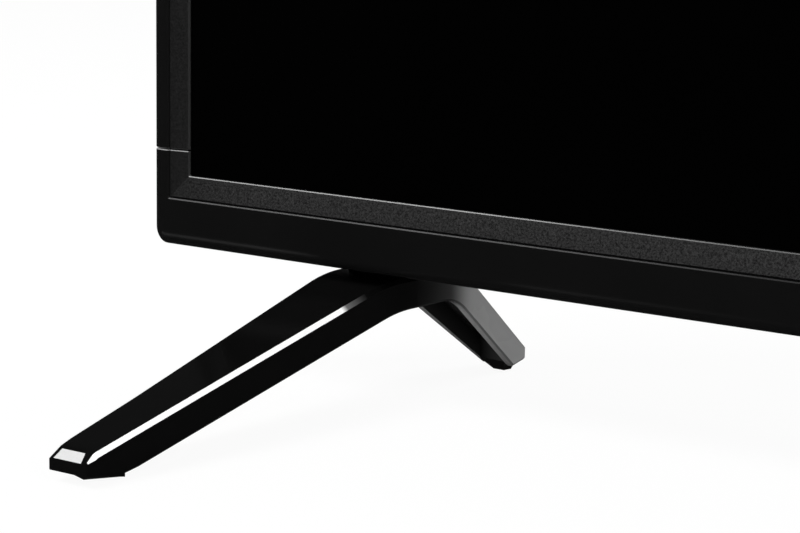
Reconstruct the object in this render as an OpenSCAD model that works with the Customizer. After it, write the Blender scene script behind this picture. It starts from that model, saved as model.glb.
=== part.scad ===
// Flat screen TV of the 32-inch class on two V-shaped feet.
// The screen faces -Y, +Z is up, and the origin lies on the table under the middle of the set.

/* [Body] */
// Width over the bezel
body_w = 730; // [690:1:800]
// Height of the body without its feet
body_h = 431; // [410:1:480]
// Depth of the slim upper part
edge_d = 38; // [37:0.5:46]
// Depth over the bulge of the rear cover
body_d = 76; // [72:0.5:90]
// Height of the underside over the table
stand_lift = 40; // [39:0.5:46]
// Corner radius seen from the front
corner_r = 5; // [4:0.5:8]

/* [Bezel] */
// Depth of the bezel's outer walls
bezel_d = 14; // [13.5:0.5:15]
// Outer wall of the bezel
bezel_wall = 2.2; // [1.8:0.1:2.6]
// Rounding of the front edges
front_round = 3; // [1.5:0.25:3.5]
// Width of the smooth rim at the sides and the top
rim_w = 6.2; // [5:0.1:9]
// Height of the smooth sill below the screen
sill_h = 14.4; // [13:0.1:18]
// Chamfer along the inner edge of rim and sill
rim_chamfer = 0.3; // [0.1:0.05:0.4]
// Width of the fine groove beside the rim
groove_w = 0.6; // [0.4:0.1:1]
// Depth of the groove behind the textured band
groove_step = 0.4; // [0.2:0.1:0.6]
// Width of the textured band
band_w = 6; // [5.4:0.1:9]
// How far the textured band lies behind the rim
band_step = 0.4; // [0.2:0.1:0.6]
// How far the band falls back towards the screen
band_fall = 0.9; // [0.4:0.1:1.2]
// Width of the chamfered lip round the screen
lip_w = 0.4; // [0.2:0.1:0.8]
// Wall of the band in front of the screen
lip_wall = 1.2; // [1:0.1:1.6]
// Height of the seam between the lower and the upper bezel
seam_z = 28.9; // [26:0.1:60]
// Gap of that seam
seam_gap = 0.45; // [0.3:0.05:0.8]

/* [Screen and backlight] */
// How far the panel reaches behind the bezel on each side
panel_lap = 5.5; // [4.5:0.1:5.8]
// Thickness of the panel
panel_t = 1.4; // [1.2:0.1:1.8]
// Clearance round sheets in the guide frame
sheet_gap = 0.5; // [0.3:0.1:0.8]
// Wall of the guide frame
guide_wall = 2; // [1.6:0.1:2.4]
// Shelf of the guide frame between panel and films
shelf_t = 1.4; // [1.2:0.1:1.8]
// Width of that shelf
shelf_w = 6.5; // [5:0.1:8]
// How far the guide frame laps over the tray's flange
guide_lap = 1.7; // [1.4:0.1:2]
// Thickness of one optical film
film_t = 0.3; // [0.2:0.05:0.4]
// Thickness of the diffuser plate
plate_t = 1.5; // [1.2:0.1:2]
// Steel of the backlight tray
tray_t = 0.8; // [0.6:0.1:1]
// Depth of the backlight tray
tray_d = 23.3; // [21:0.1:24]
// Width of the tray's flange
flange_w = 8.5; // [8:0.1:10]
// How far the tray's walls slope in
tray_slope = 36; // [32:1:40]
// Thickness of the reflector sheet
reflector_t = 0.4; // [0.3:0.05:0.6]
// Clearance between reflector sheet and tray wall
reflector_gap = 0.3; // [0.2:0.1:0.5]
// Number of LED bars
bar_count = 3; // [2:1:4]
// Width of an LED bar
bar_w = 14; // [12:0.5:18]
// Thickness of an LED bar
bar_t = 1.2; // [1:0.1:1.6]
// Number of lenses on a bar
lens_count = 7; // [5:1:9]
// Radius of a lens
lens_r = 7.5; // [6:0.1:8]
// Height of a lens
lens_h = 6; // [4:0.1:7]
// Radius at the foot of a diffuser post
post_foot_r = 4; // [3:0.1:5]
// Radius at the tip of a diffuser post
post_tip_r = 1.2; // [0.8:0.1:2]
// Gap between post tip and diffuser plate
post_gap = 0.3; // [0.2:0.1:0.8]
// Length of the screen's driver board
source_w = 320; // [240:1:400]
// Height of the screen's driver board
source_h = 6.5; // [5:0.1:7]
// Width of the flat cable to the driver board
ribbon_w = 26; // [18:1:40]
// Thickness of the flat cable
ribbon_t = 0.4; // [0.3:0.05:0.6]

/* [Rear cover] */
// Wall of the rear cover
cover_wall = 2.2; // [1.8:0.1:2.6]
// Step from bezel to rear cover at the sides and the top
cover_step = 0.4; // [0.2:0.1:0.8]
// How far the cover's sides slope in
cover_slope = 16; // [10:0.5:20]
// Width of the bulge at its base
bulge_w = 560; // [540:1:580]
// Underside of the bulge over the body's underside
bulge_z = 3; // [1:0.5:8]
// Height of the bulge at its base
bulge_h = 259; // [250:1:280]
// How far the bulge's sides slope in
bulge_slope = 20; // [12:0.5:22]
// How far the bulge's top slopes in
bulge_top_slope = 32; // [24:0.5:36]
// Corner radius of the bulge
bulge_r = 12; // [8:0.5:16]
// Rounding of the bulge's rear edges
bulge_round = 6; // [3:0.5:7]
// Rounding of the slim part's rear edges
edge_round = 3; // [1.5:0.5:3.5]
// Width of a vent slot
vent_w = 3; // [2.5:0.1:4]
// Distance from slot to slot
vent_pitch = 9; // [8:0.5:12]
// Number of slots in the bulge's top slope
vent_count = 40; // [20:2:44]
// Length of a vent slot along the depth
vent_l = 22; // [16:0.5:24]
// Number of slots under a speaker
grille_count = 8; // [4:1:10]
// Width of the deep part of the wells beside the terminals and the inlet
well_w = 46; // [42:0.5:48]
// Height of the inlet's well
inlet_well_h = 60; // [50:1:70]
// Depth of a well's floor in front of the boards
well_drop = 1.8; // [1.6:0.1:2.2]
// Distance from the tray floor's side edges to the cover screws
cover_screw_side = 8; // [6:0.5:14]
// Distance from the tray floor's upper edge to the cover screws
cover_screw_top = 16; // [8:0.5:24]
// Distance from the tray floor's lower edge to the cover screws
cover_screw_low = 32; // [20:0.5:60]
// Clearance round sockets, posts and the button
fit_gap = 0.3; // [0.25:0.05:0.4]

/* [Boards] */
// Thickness of a circuit board
pcb_t = 1.6; // [1.2:0.1:2]
// Distance from the middle of the set to each big board
board_gap = 66; // [64:0.5:70]
// Width of each big board
board_w = 120; // [112:0.5:124]
// Height of each big board
board_h = 136; // [132:1:150]
// Lower edge of the big boards over the body's underside
board_z = 62; // [62:0.5:68]
// Distance from a board's side edge to the well beside it
board_well_gap = 4; // [3:0.1:6]
// Distance from board edges to the screws
screw_inset = 5; // [4.5:0.1:6]
// Radius of the tray's screw bosses
boss_r = 4; // [3.5:0.1:4.2]
// Radius of the thread in a boss
thread_r = 1.3; // [1.2:0.05:1.5]
// Radius of a screw's shank
shank_r = 1.2; // [1:0.05:1.2]
// Radius of a screw's head
head_r = 2.8; // [2.4:0.1:3.2]
// Height of a screw's head
head_h = 1.8; // [1.4:0.1:2.2]
// How far a cover screw's head sinks into the cover
head_sink = 1; // [0.6:0.1:1.2]
// Side of the heatsink
heatsink_w = 40; // [30:1:46]
// Height of the heatsink
heatsink_h = 14; // [10:0.5:18]
// Number of fins on the heatsink
fin_count = 8; // [5:1:10]
// Thickness of a fin
fin_t = 1.2; // [1:0.1:1.6]
// Base of the heatsink
heatsink_base = 3; // [2:0.1:4]
// Side of the processor under the heatsink
chip_w = 23; // [18:1:28]
// Middle of the processor from the board's inner edge
chip_x = 40; // [36:1:60]
// Middle of the processor from the board's lower edge
chip_z = 82; // [70:1:94]
// Thickness of a chip
chip_t = 1.8; // [1.2:0.1:2.4]
// Width of a memory chip
memory_w = 11.5; // [8:0.5:12]
// Height of a memory chip
memory_h = 7.7; // [6:0.1:9]
// Width of the transformer's core
core_w = 28; // [22:1:30]
// Depth of the transformer's core
core_d = 20; // [18:1:26]
// Height of the transformer's core
core_h = 30; // [24:1:34]
// Thickness of the core's yokes
yoke_h = 5; // [4:0.5:7]
// Radius of the transformer's winding
winding_r = 8.5; // [7:0.1:9]

/* [Terminals] */
// How far sockets stand out of the well's wall
socket_proud = 0.5; // [0.3:0.1:1]
// Opening of a video socket, along the wall and across it
hdmi_hole = [14, 4.6]; // [4:0.1:16]
// Thickness of the tongue in a video socket
hdmi_tongue = 1; // [0.8:0.1:1.4]
// Opening of the data socket
usb_hole = [12.6, 5.2]; // [5:0.1:14]
// Thickness of the tongue in the data socket
usb_tongue = 1.8; // [1.4:0.1:2.2]
// Opening of the network socket
lan_hole = [11.8, 8.4]; // [8:0.1:13]
// Wall of the sockets' shells
shell_t = 0.8; // [0.6:0.1:1]
// Depth of the sockets
socket_l = 13; // [12:0.5:16]
// Radius of the headphone jack's bore
jack_r = 1.8; // [1.75:0.05:1.85]
// Depth of the headphone jack's bore
jack_l = 14; // [12:0.5:16]
// Side of the headphone jack's block
jack_w = 9; // [8:0.1:10]
// Radius of the aerial socket's barrel
aerial_r = 4.7; // [4.6:0.05:4.8]
// Length of the aerial socket's barrel
aerial_l = 9; // [8:0.1:10]
// Height of the barrel's middle over the board
aerial_lift = 8; // [7.5:0.1:9]
// Radius of the aerial socket's centre hole
aerial_hole_r = 0.7; // [0.5:0.05:0.9]
// Length of the tuner can behind the barrel
tuner_l = 16.5; // [14:0.5:20]
// Distance from socket to socket along the wall
socket_pitch = 21; // [20:0.5:22]
// Radius of the figure-8 inlet's lobes
inlet_r = 4; // [3.8:0.05:4.2]
// Half height of the web between the inlet's lobes
inlet_web = 3.2; // [3:0.1:3.6]
// Distance between the inlet's pins
inlet_pitch = 8.6; // [8.2:0.1:9]
// Depth of the inlet's recess
inlet_l = 11; // [10:0.1:12]
// Wall round the inlet's recess
inlet_wall = 2.4; // [2:0.1:3]
// Radius of an inlet pin
pin_r = 1.2; // [1.1:0.05:1.3]
// How far a pin ends inside the inlet's mouth
pin_sink = 1.5; // [1:0.1:3]

/* [Speakers] */
// Width of a speaker box
speaker_w = 84; // [70:1:88]
// Height of a speaker box
speaker_h = 34; // [28:0.5:40]
// Depth of a speaker box
speaker_d = 30; // [26:0.5:31]
// Distance from the bulge's side to a speaker's middle
speaker_x = 74; // [72:1:90]
// Clearance between a speaker box and the slim part of the cover
speaker_gap = 2; // [1:0.1:4]
// Wall of a speaker box
speaker_wall = 2; // [1.6:0.1:2.4]
// Radius of a speaker cone
cone_r = 12; // [10:0.1:12.5]
// Height of a speaker cone
cone_h = 8; // [6:0.1:10]
// Radius of the cone's dust cap
cap_r = 4; // [3:0.1:6]
// Width of the surround ring and thickness of the cone
ring_w = 0.8; // [0.6:0.1:1.2]
// Radius of a speaker wire
wire_r = 1.2; // [1:0.1:1.6]
// Distance between the two speaker wires on the main board
wire_pitch = 7.2; // [4:0.1:10]
// Distance from the main board's inner edge to the speaker wires
wire_x = 15; // [12:0.5:20]

/* [Button and receiver] */
// Radius of the power button
button_r = 3.7; // [3:0.1:4]
// How far the button stands below the underside
button_proud = 0.6; // [0.4:0.05:0.8]
// Travel of the button
button_travel = 0.8; // [0.5:0.05:1]
// Radius of the collar that holds the button in
collar_r = 4.9; // [4.8:0.05:5]
// Thickness of that collar
collar_t = 1; // [0.8:0.1:1.2]
// Radius of the switch plunger
plunger_r = 1.5; // [1.2:0.1:1.7]
// How far the plunger stands out of its switch
plunger_proud = 1; // [0.9:0.05:1.2]
// How far the plunger reaches into its switch
plunger_in = 1; // [0.8:0.05:1.2]
// Side of the switch
switch_w = 6; // [5.6:0.1:6.4]
// Height of the switch
switch_h = 3.4; // [3.2:0.1:3.6]
// Width of the key board
key_w = 64; // [60:1:80]
// Depth of the key board
key_d = 9; // [8:0.1:9.4]
// Thickness of the key board
key_t = 1.2; // [1:0.1:1.4]
// Height of the key board over the bezel's inner floor
key_lift = 8.2; // [8:0.1:8.4]
// Radius of the pegs that carry the key board
peg_r = 2; // [1.6:0.1:2.4]
// Distance from the key board's ends to its pegs
peg_inset = 4; // [3:0.1:6]
// Distance from the button to the receiver
receiver_x = 22; // [18:0.5:26]
// Width of the receiver
receiver_w = 6; // [5:0.1:7]
// Depth of the receiver
receiver_d = 3.6; // [3:0.1:4]
// Height of the receiver
receiver_h = 5.4; // [5:0.1:6]
// Length of the receiver window
lens_window_l = 18; // [14:0.5:24]
// Height of the receiver window
lens_window_h = 5; // [4:0.1:6]
// Flange round the receiver window
lens_flange = 0.8; // [0.6:0.1:1.2]
// Sink of the receiver window behind the sill's face
lens_sink = 0.2; // [0.1:0.05:0.4]

/* [Wall mount] */
// Distance between the wall mount's threads
mount_pitch = 100; // [100, 75]
// Middle of the wall mount over the body's underside
mount_z = 150; // [146:0.5:154]
// Radius of a wall mount post
mount_post_r = 6; // [5:0.1:7]
// Radius of a wall mount thread
mount_thread_r = 2; // [1.65:0.05:2.1]
// Depth of a wall mount thread
mount_thread_l = 14; // [10:0.5:20]

/* [Feet] */
// Distance from the body's side to a foot's middle
foot_inset = 71.7; // [60:0.1:80]
// Reach of a foot in front of the screen
foot_front = 110.8; // [90:0.1:130]
// Reach of a foot behind the screen's face
foot_back = 74; // [73:0.1:90]
// Depth of the foot's fixing behind the screen's face
foot_mount_y = 27; // [26.5:0.1:28]
// How far the front tip swings outwards
front_sweep = 7.9; // [4:0.1:14]
// How far the back tip swings inwards
back_sweep = 11.8; // [4:0.1:14]
// Width of the front tip
tip_w = 11.7; // [10:0.1:14]
// Width of the back tip
heel_w = 9.6; // [9:0.1:14]
// Width at the fixing
foot_w = 24.6; // [22:0.1:28]
// Thickness of the foot with its seat at the fixing
foot_t = 12.6; // [11.5:0.1:14]
// Height of the seat that carries the body over the foot's top
seat_h = 3.3; // [2.5:0.1:3.8]
// Height of the nose's lower edge
nose_z = 3.1; // [2.8:0.1:3.6]
// Height of the nose's face
nose_h = 3.3; // [2.8:0.1:3.6]
// Length of the bevel above the nose
nose_bevel_l = 4.3; // [3:0.1:6]
// Rise of the bevel above the nose
nose_bevel_h = 2.2; // [1.5:0.1:3]
// Bright-cut chamfer along the inner upper edge
foot_chamfer = 1.15; // [0.8:0.05:1.6]
// What is left of that chamfer at the nose
nose_chamfer = 0.1; // [0.05:0.05:0.4]
// Chamfer along the outer upper edge
foot_edge = 0.3; // [0.2:0.05:0.8]
// Chamfer along the lower edges
foot_rim = 0.8; // [0.5:0.05:1]
// Where the sloping top of the front leg becomes level
top_front_y = 6.1; // [4:0.1:8]
// Where the steep top of the back leg begins
top_back_y = 40.4; // [38:0.1:42]
// Where the front leg's underside reaches the arch
arch_front_y = 11.9; // [10:0.1:14]
// Where the back leg's underside leaves the arch
arch_back_y = 38.2; // [37:0.1:40]
// Rounding where the top becomes level
top_round = 75; // [40:1:90]
// Rounding of the arch towards the front leg
arch_round = 80; // [40:1:100]
// Rounding of the arch towards the back leg
heel_round = 16; // [8:0.5:24]
// Side walls of the hollow foot
foot_wall = 2; // [1.6:0.1:2.4]
// Roof of the hollow foot
foot_roof = 4; // [3:0.1:4.5]
// Thickness of a rubber pad
pad_t = 0.9; // [0.8:0.1:1.2]
// Length of a front pad
front_pad_l = 5.4; // [4:0.1:8]
// Length of a back pad
back_pad_l = 2.4; // [2:0.1:4]
// Distance from the nose to the front pad
front_pad_y = 10.8; // [8:0.1:13]
// Distance from the heel to the back pad
back_pad_y = 3.2; // [2.5:0.1:5]
// Distance from the foot's sides to its pads
pad_inset = 2; // [1.2:0.1:3]
// Distance between a foot's two screws
foot_screw_pitch = 10; // [9:0.1:10.5]
// Radius of a foot screw's shank
foot_screw_r = 1.9; // [1.7:0.05:1.9]
// Radius of the thread in a foot bracket
foot_thread_r = 2; // [1.95:0.05:2.1]
// Radius of a foot screw's head
foot_head_r = 3.6; // [3.2:0.1:4]
// Height of a foot screw's head
foot_head_h = 2.6; // [2:0.1:3]
// Width of a foot bracket
bracket_w = 40; // [30:1:50]
// Height of a foot bracket
bracket_h = 10; // [9:0.1:11]
// Depth of a foot bracket
bracket_d = 17; // [16.5:0.1:17.4]

/* [Hidden] */

$fn = 48;
// Thickness of the end plates that a tapered form is stretched between
skin = 0.01;
// Overlength of cutting shapes
cut = 1;

// Depth of the screen's front face behind the table origin
front_y = (foot_front - max(body_d, foot_back)) / 2;

// Rectangles seen from the front, as width, lower edge and upper edge
side_w = rim_w + groove_w + band_w + lip_w;
window = [body_w - 2 * side_w, sill_h + groove_w + band_w + lip_w, body_h - side_w];
rim_inside = [body_w - 2 * rim_w, sill_h, body_h - rim_w];
bezel_inside = [body_w - 2 * bezel_wall, bezel_wall, body_h - bezel_wall];
panel = grown(window, panel_lap);
pocket = grown(panel, sheet_gap);
tray_mouth = grown(panel, -flange_w);
tray_floor = grown(tray_mouth, -tray_slope);

// Depths behind the front face, from the screen to the back
lip_y = band_step + band_fall;
panel_y = lip_y + lip_wall;
shelf_y = panel_y + panel_t;
prism_y = shelf_y + shelf_t;
film_y = prism_y + film_t;
plate_y = film_y + film_t;
tray_y = plate_y + plate_t;
tray_back_y = tray_y + tray_d;
bar_y = tray_back_y - tray_t - bar_t;
reflector_y = bar_y - reflector_t;
board_y = edge_d - cover_wall;
board_back_y = board_y + pcb_t;
well_y = board_y - well_drop;

// Where things lie along the width and the height
well_x = board_gap + board_w + board_well_gap;
socket_x = well_x + socket_proud;
socket_count = 6;
socket_z = [
    for (i = [0 : socket_count - 1])
    board_z + board_h / 2 + (i - (socket_count - 1) / 2) * socket_pitch
];
socket_reach = max(socket_l, tuner_l, jack_l + shell_t, inlet_l + inlet_wall);
socket_zone = board_gap + board_w - socket_x + socket_reach;
foot_x = body_w / 2 - foot_inset;
speaker_mid = bulge_w / 2 - speaker_x;
speaker_z = bulge_z + cover_wall;
speaker_y = edge_d + speaker_gap;
button_y = bezel_d / 2 + panel_y / 2;
key_z = bezel_wall + key_lift;
switch_z = key_z - switch_h;
aerial_y = board_back_y + aerial_lift;
tuner = [2 * (aerial_r + shell_t), aerial_lift + aerial_r + shell_t];
inlet_y = board_back_y + inlet_r + inlet_wall;
inlet_z = board_z + board_h / 2;
bracket_y = foot_mount_y - bracket_d / 2;

// Where screws and bosses sit, as places along width and height
board_spots = [
    for (side = [-1, 1]) for (x = [screw_inset, board_w - socket_zone - screw_inset])
    for (z = [screw_inset, board_h - screw_inset]) [side * (board_gap + x), board_z + z]
];
cover_spot_x = tray_floor[0] / 2 - cover_screw_side;
cover_spots = concat(
    [for (side = [-1, 0, 1]) [side * cover_spot_x, tray_floor[2] - cover_screw_top]],
    [for (side = [-1, 1]) [side * cover_spot_x, tray_floor[1] + cover_screw_low]]
);
mount_spots = [
    for (side = [-1, 1]) for (up = [-1, 1]) [side * mount_pitch / 2, mount_z + up * mount_pitch / 2]
];
lens_spots = [
    for (row = [0 : bar_count - 1]) for (i = [0 : lens_count - 1])
    [tray_floor[0] * ((i + 0.5) / lens_count - 0.5), bar_z(row)]
];
diffuser_spots = [
    for (row = [0 : bar_count - 2]) for (side = [-1, 1])
    [side * tray_floor[0] / 4, (bar_z(row) + bar_z(row + 1)) / 2]
];
foot_screw_spots = [for (i = [-1, 1]) foot_mount_y + i * foot_screw_pitch / 2];

// A rectangle made larger on every side, and the middle of one row of LEDs
function grown(rect, by) = [rect[0] + 2 * by, rect[1] - by, rect[2] + by];
function bar_z(row) = tray_floor[1] + (tray_floor[2] - tray_floor[1]) * (row + 0.5) / bar_count;
function tray_inside(y) = grown(tray_mouth, -tray_slope * (y - tray_y) / (tray_d - tray_t));

// Places children in the body: middle of the width, front face and underside at zero
module on_body() {
    translate([0, front_y, stand_lift]) children();
}

// A block over a rectangle, between two depths
module plate(rect, y0, y1) {
    translate([-rect[0] / 2, y0, rect[1]]) cube([rect[0], y1 - y0, rect[2] - rect[1]]);
}

// A block between two corners
module block(from, to) {
    translate(from) cube(to - from);
}

// A block that tapers from one rectangle to another
module funnel(front, y0, back, y1) {
    hull() {
        plate(front, y0, y0 + skin);
        plate(back, y1 - skin, y1);
    }
}

// A rectangle made smaller at the sides and the top
function drawn_in(rect, by) = [rect[0] - 2 * by, rect[1], rect[2] - by];

// A tapered block with round corners, whose rear edges are rounded at the sides and the top
module soft_funnel(front, y0, back, y1, r, edge) {
    slices = concat([[front, y0, r]], [
        for (a = [0 : 30 : 90]) let(in = edge * (1 - cos(a)))
        [drawn_in(back, in), y1 - skin - edge * (1 - sin(a)), r - in]
    ]);
    hull() for (s = slices)
        for (side = [-1, 1]) for (z = [s[0][1] + s[2], s[0][2] - s[2]])
            translate([side * (s[0][0] / 2 - s[2]), s[1], z])
                rotate([-90, 0, 0]) cylinder(r = s[2], h = skin, $fn = 32);
}

// A cylinder along the depth, from one depth to another
module rod(spot, y0, y1, r) {
    translate([spot[0], y0, spot[1]]) rotate([-90, 0, 0]) cylinder(r = r, h = y1 - y0);
}

// A cylinder along the width, from one side to another
module bar(x0, x1, y, z, r) {
    translate([x0, y, z]) rotate([0, 90, 0]) cylinder(r = r, h = x1 - x0);
}

// A round wire through a list of points
module wire(path, r) {
    for (i = [0 : len(path) - 2]) {
        step = path[i + 1] - path[i];
        translate(path[i]) rotate([0, acos(step[2] / norm(step)), atan2(step[1], step[0])])
            cylinder(r = r, h = norm(step));
    }
    for (i = [1 : len(path) - 2]) translate(path[i]) sphere(r = r);
}

// A pill-shaped plate in the sill, between two depths
module pill(l, h, y0, y1) {
    for (side = [-1, 1]) rod([side * (l - h) / 2, 0], y0, y1, h / 2);
    block([-(l - h) / 2, y0, -h / 2], [(l - h) / 2, y1, h / 2]);
}

// Quarter outline of a bezel corner: a disc whose front edge is rounded
function corner_outline() = concat(
    [[0, 0]],
    [for (a = [0 : 11.25 : 90])
        [corner_r - front_round * (1 - sin(a)), front_round * (1 - cos(a))]],
    [[corner_r, bezel_d], [0, bezel_d]]
);

// Both bezels in one: round-edged slab, groove, band that falls back to the lip, window and hollow back
module bezel_frame() {
    band_inside = grown(window, lip_w);
    difference() {
        hull() for (side = [-1, 1]) for (z = [corner_r, body_h - corner_r])
            translate([side * (body_w / 2 - corner_r), 0, z])
                rotate([-90, 0, 0]) rotate_extrude($fn = 32) polygon(corner_outline());
        funnel(grown(rim_inside, rim_chamfer), -skin, rim_inside, band_step);
        difference() {
            plate(rim_inside, -cut, band_step + groove_step);
            plate(grown(rim_inside, -groove_w), -cut, band_step + groove_step + cut);
        }
        funnel(grown(band_inside, band_w), band_step - skin, band_inside, lip_y);
        funnel(band_inside, lip_y - skin, window, lip_y + lip_wall / 2);
        plate(window, -cut, bezel_d + cut);
        plate(bezel_inside, panel_y, bezel_d + cut);
    }
}

module lower_bezel() {
    color("#141414") on_body() difference() {
        union() {
            intersection() {
                bezel_frame();
                plate([body_w + cut, -cut, seam_z - seam_gap / 2], -cut, bezel_d + cut);
            }
            for (side = [-1, 1])
                translate([receiver_x / 2 + side * (key_w / 2 - peg_inset), button_y, bezel_wall - skin])
                    cylinder(r = peg_r, h = key_lift + skin);
        }
        translate([0, button_y, -cut]) cylinder(r = button_r + fit_gap, h = bezel_wall + 2 * cut);
        translate([receiver_x, 0, sill_h / 2])
            pill(lens_window_l + fit_gap, lens_window_h + fit_gap, -cut, panel_y + cut);
    }
}

module upper_bezel() {
    color("#161616") on_body() intersection() {
        bezel_frame();
        plate([body_w + cut, seam_z + seam_gap / 2, body_h + cut], -cut, bezel_d + cut);
    }
}

module lcd_panel() {
    color("#050505") on_body() plate(panel, panel_y, shelf_y);
}

module panel_guide() {
    guide = grown(pocket, guide_wall);
    guide_back_y = tray_y + tray_t + guide_lap;
    color("#2a2a2a") on_body() difference() {
        plate(guide, panel_y, guide_back_y);
        plate(pocket, panel_y - cut, shelf_y);
        plate(grown(panel, -shelf_w), panel_y, guide_back_y);
        plate(pocket, prism_y, guide_back_y + cut);
    }
}

module prism_film() {
    color("#dfe6ea") on_body() plate(panel, prism_y, film_y);
}

module diffuser_film() {
    color("#f2f4f4") on_body() plate(panel, film_y, plate_y);
}

module diffuser_plate() {
    color("#ffffff") on_body() plate(panel, plate_y, tray_y);
}

module reflector_sheet() {
    outside = grown(tray_inside(bar_y), -reflector_gap);
    inside = grown(tray_inside(reflector_y), -reflector_gap - reflector_t);
    color("#f6f6f6") on_body() difference() {
        funnel(grown(tray_mouth, -reflector_gap), tray_y, outside, bar_y);
        funnel(grown(tray_mouth, -reflector_gap - reflector_t), tray_y - skin, inside, reflector_y);
        for (spot = lens_spots) rod(spot, reflector_y - cut, bar_y + cut, lens_r + fit_gap);
    }
}

module led_bars() {
    color("#e8e4d8") on_body() for (row = [0 : bar_count - 1])
        plate([tray_floor[0], bar_z(row) - bar_w / 2, bar_z(row) + bar_w / 2], bar_y, bar_y + bar_t);
}

// Side-spreading lens: a drum with a dimpled dome
module led_lenses() {
    rim_h = lens_h / 2;
    dimple_r = lens_r / 3;
    outline = concat(
        [[0, 0], [lens_r, 0], [lens_r, rim_h]],
        [for (a = [30 : 30 : 90]) [
            dimple_r + (lens_r - dimple_r) * cos(a), rim_h + (lens_h - rim_h) * sin(a)
        ]],
        [[0, rim_h]]
    );
    color("#eef6fa") on_body() for (spot = lens_spots)
        translate([spot[0], bar_y, spot[1]]) rotate([90, 0, 0]) rotate_extrude() polygon(outline);
}

module diffuser_posts() {
    post_l = reflector_y - tray_y - post_gap;
    color("#f4f4f4") on_body() for (spot = diffuser_spots)
        translate([spot[0], reflector_y, spot[1]]) rotate([90, 0, 0])
            cylinder(r1 = post_foot_r, r2 = post_tip_r, h = post_l);
}

module backlight_tray() {
    bosses = concat(board_spots, cover_spots);
    color("#b9bdc0") on_body() difference() {
        union() {
            plate(panel, tray_y, tray_y + tray_t);
            funnel(grown(tray_mouth, tray_t), tray_y, grown(tray_floor, tray_t), tray_back_y);
            for (spot = bosses) rod(spot, tray_back_y - tray_t / 2, board_y, boss_r);
        }
        funnel(tray_mouth, tray_y - skin, tray_floor, tray_back_y - tray_t);
        for (spot = bosses) rod(spot, tray_back_y, board_y + cut, thread_r);
    }
}

module source_board() {
    y = tray_y + tray_t;
    color("#1d5a2c") on_body()
        plate([source_w, panel[1] + sheet_gap, panel[1] + sheet_gap + source_h], y, y + pcb_t / 2);
}

// Flat cable from the main board's lower edge, past the tray's slope, to the driver board
module panel_ribbon() {
    source_back_y = tray_y + tray_t + pcb_t / 2;
    path = [
        [board_back_y, board_z + 2 * screw_inset],
        [board_back_y, board_z - screw_inset],
        [tray_back_y + pcb_t, tray_floor[1] - screw_inset],
        [source_back_y, panel[1] + sheet_gap + source_h],
        [source_back_y, panel[1] + 2 * sheet_gap]
    ];
    strip = concat(path, [for (i = [len(path) - 1 : -1 : 0]) path[i] + [ribbon_t, 0]]);
    color("#d8d8d0") on_body() translate([board_gap + board_w / 2, 0, 0])
        rotate([90, 0, 90]) linear_extrude(ribbon_w, center = true) polygon(strip);
}

// Bulge rectangles at its base and at its back
bulge_base = [bulge_w, bulge_z, bulge_z + bulge_h];
bulge_rear = [bulge_w - 2 * bulge_slope, bulge_z, bulge_z + bulge_h - bulge_top_slope];

// The two wells cut out of the bulge's sides, as side of the set, lower edge and upper edge
wells = [
    [1, board_z, board_z + board_h],
    [-1, inlet_z - inlet_well_h / 2, inlet_z + inlet_well_h / 2]
];

// A block over a well of the given width, between two depths, made larger by a wall
module well(w, wall, width, y0, y1) {
    x = [w[0] * (well_x - wall), w[0] * (well_x + width + wall)];
    block([min(x), y0, w[1] - wall], [max(x), y1, w[2] + wall]);
}

// Outside of the bulge
module bulge() {
    soft_funnel(bulge_base, board_y, bulge_rear, body_d, bulge_r, bulge_round);
}

// Slots through the cover's lower or sloping upper wall
module slots(count, x, y, l, z0, z1) {
    for (i = [0 : count - 1])
        translate([x + (i - (count - 1) / 2) * vent_pitch - vent_w / 2, y, z0])
            cube([vent_w, l, z1 - z0]);
}

module rear_cover() {
    rim = [body_w - 2 * cover_step, 0, body_h - cover_step];
    slim_back = [rim[0] - 2 * cover_slope, 0, rim[2] - cover_slope];
    vent_y = (edge_d + body_d - vent_l) / 2;
    well_out = bulge_w / 2 - well_x;
    color("#181818") on_body() difference() {
        union() {
            difference() {
                union() {
                    soft_funnel(rim, bezel_d, slim_back, edge_d, corner_r, edge_round);
                    bulge();
                }
                soft_funnel(grown(rim, -cover_wall), bezel_d - cut, grown(slim_back, -cover_wall), board_y,
                    corner_r - cover_wall / 2, edge_round - cover_wall / 2);
                soft_funnel(grown(bulge_base, -cover_wall), board_y - cut, grown(bulge_rear, -cover_wall),
                    body_d - cover_wall, bulge_r - cover_wall, bulge_round - cover_wall);
            }
            intersection() {
                bulge();
                for (w = wells) well(w, cover_wall, well_out, board_y, body_d);
            }
            for (w = wells) well(w, cover_wall, well_w, well_y - cover_wall, board_y + skin);
        }
        for (w = wells) {
            well(w, 0, well_w, well_y, body_d + cut);
            well(w, 0, well_out + cut, edge_d, body_d + cut);
        }
        socket_cuts();
        slots(vent_count, 0, vent_y, vent_l, bulge_rear[2] - bulge_top_slope, bulge_base[2] + cut);
        for (side = [-1, 1])
            slots(grille_count, side * speaker_mid, vent_y, vent_l, bulge_z - cut, speaker_z + cut);
        for (spot = mount_spots) rod(spot, body_d - cover_wall - cut, body_d + cut, mount_post_r + fit_gap);
        for (spot = cover_spots) {
            rod(spot, board_y - cut, edge_d + cut, shank_r + fit_gap);
            rod(spot, edge_d - head_sink, edge_d + cut, head_r + fit_gap);
        }
        for (side = [-1, 1]) for (y = foot_screw_spots)
            translate([side * foot_x, y, -cut])
                cylinder(r = foot_thread_r + fit_gap, h = cover_wall + 2 * cut);
    }
}

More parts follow.
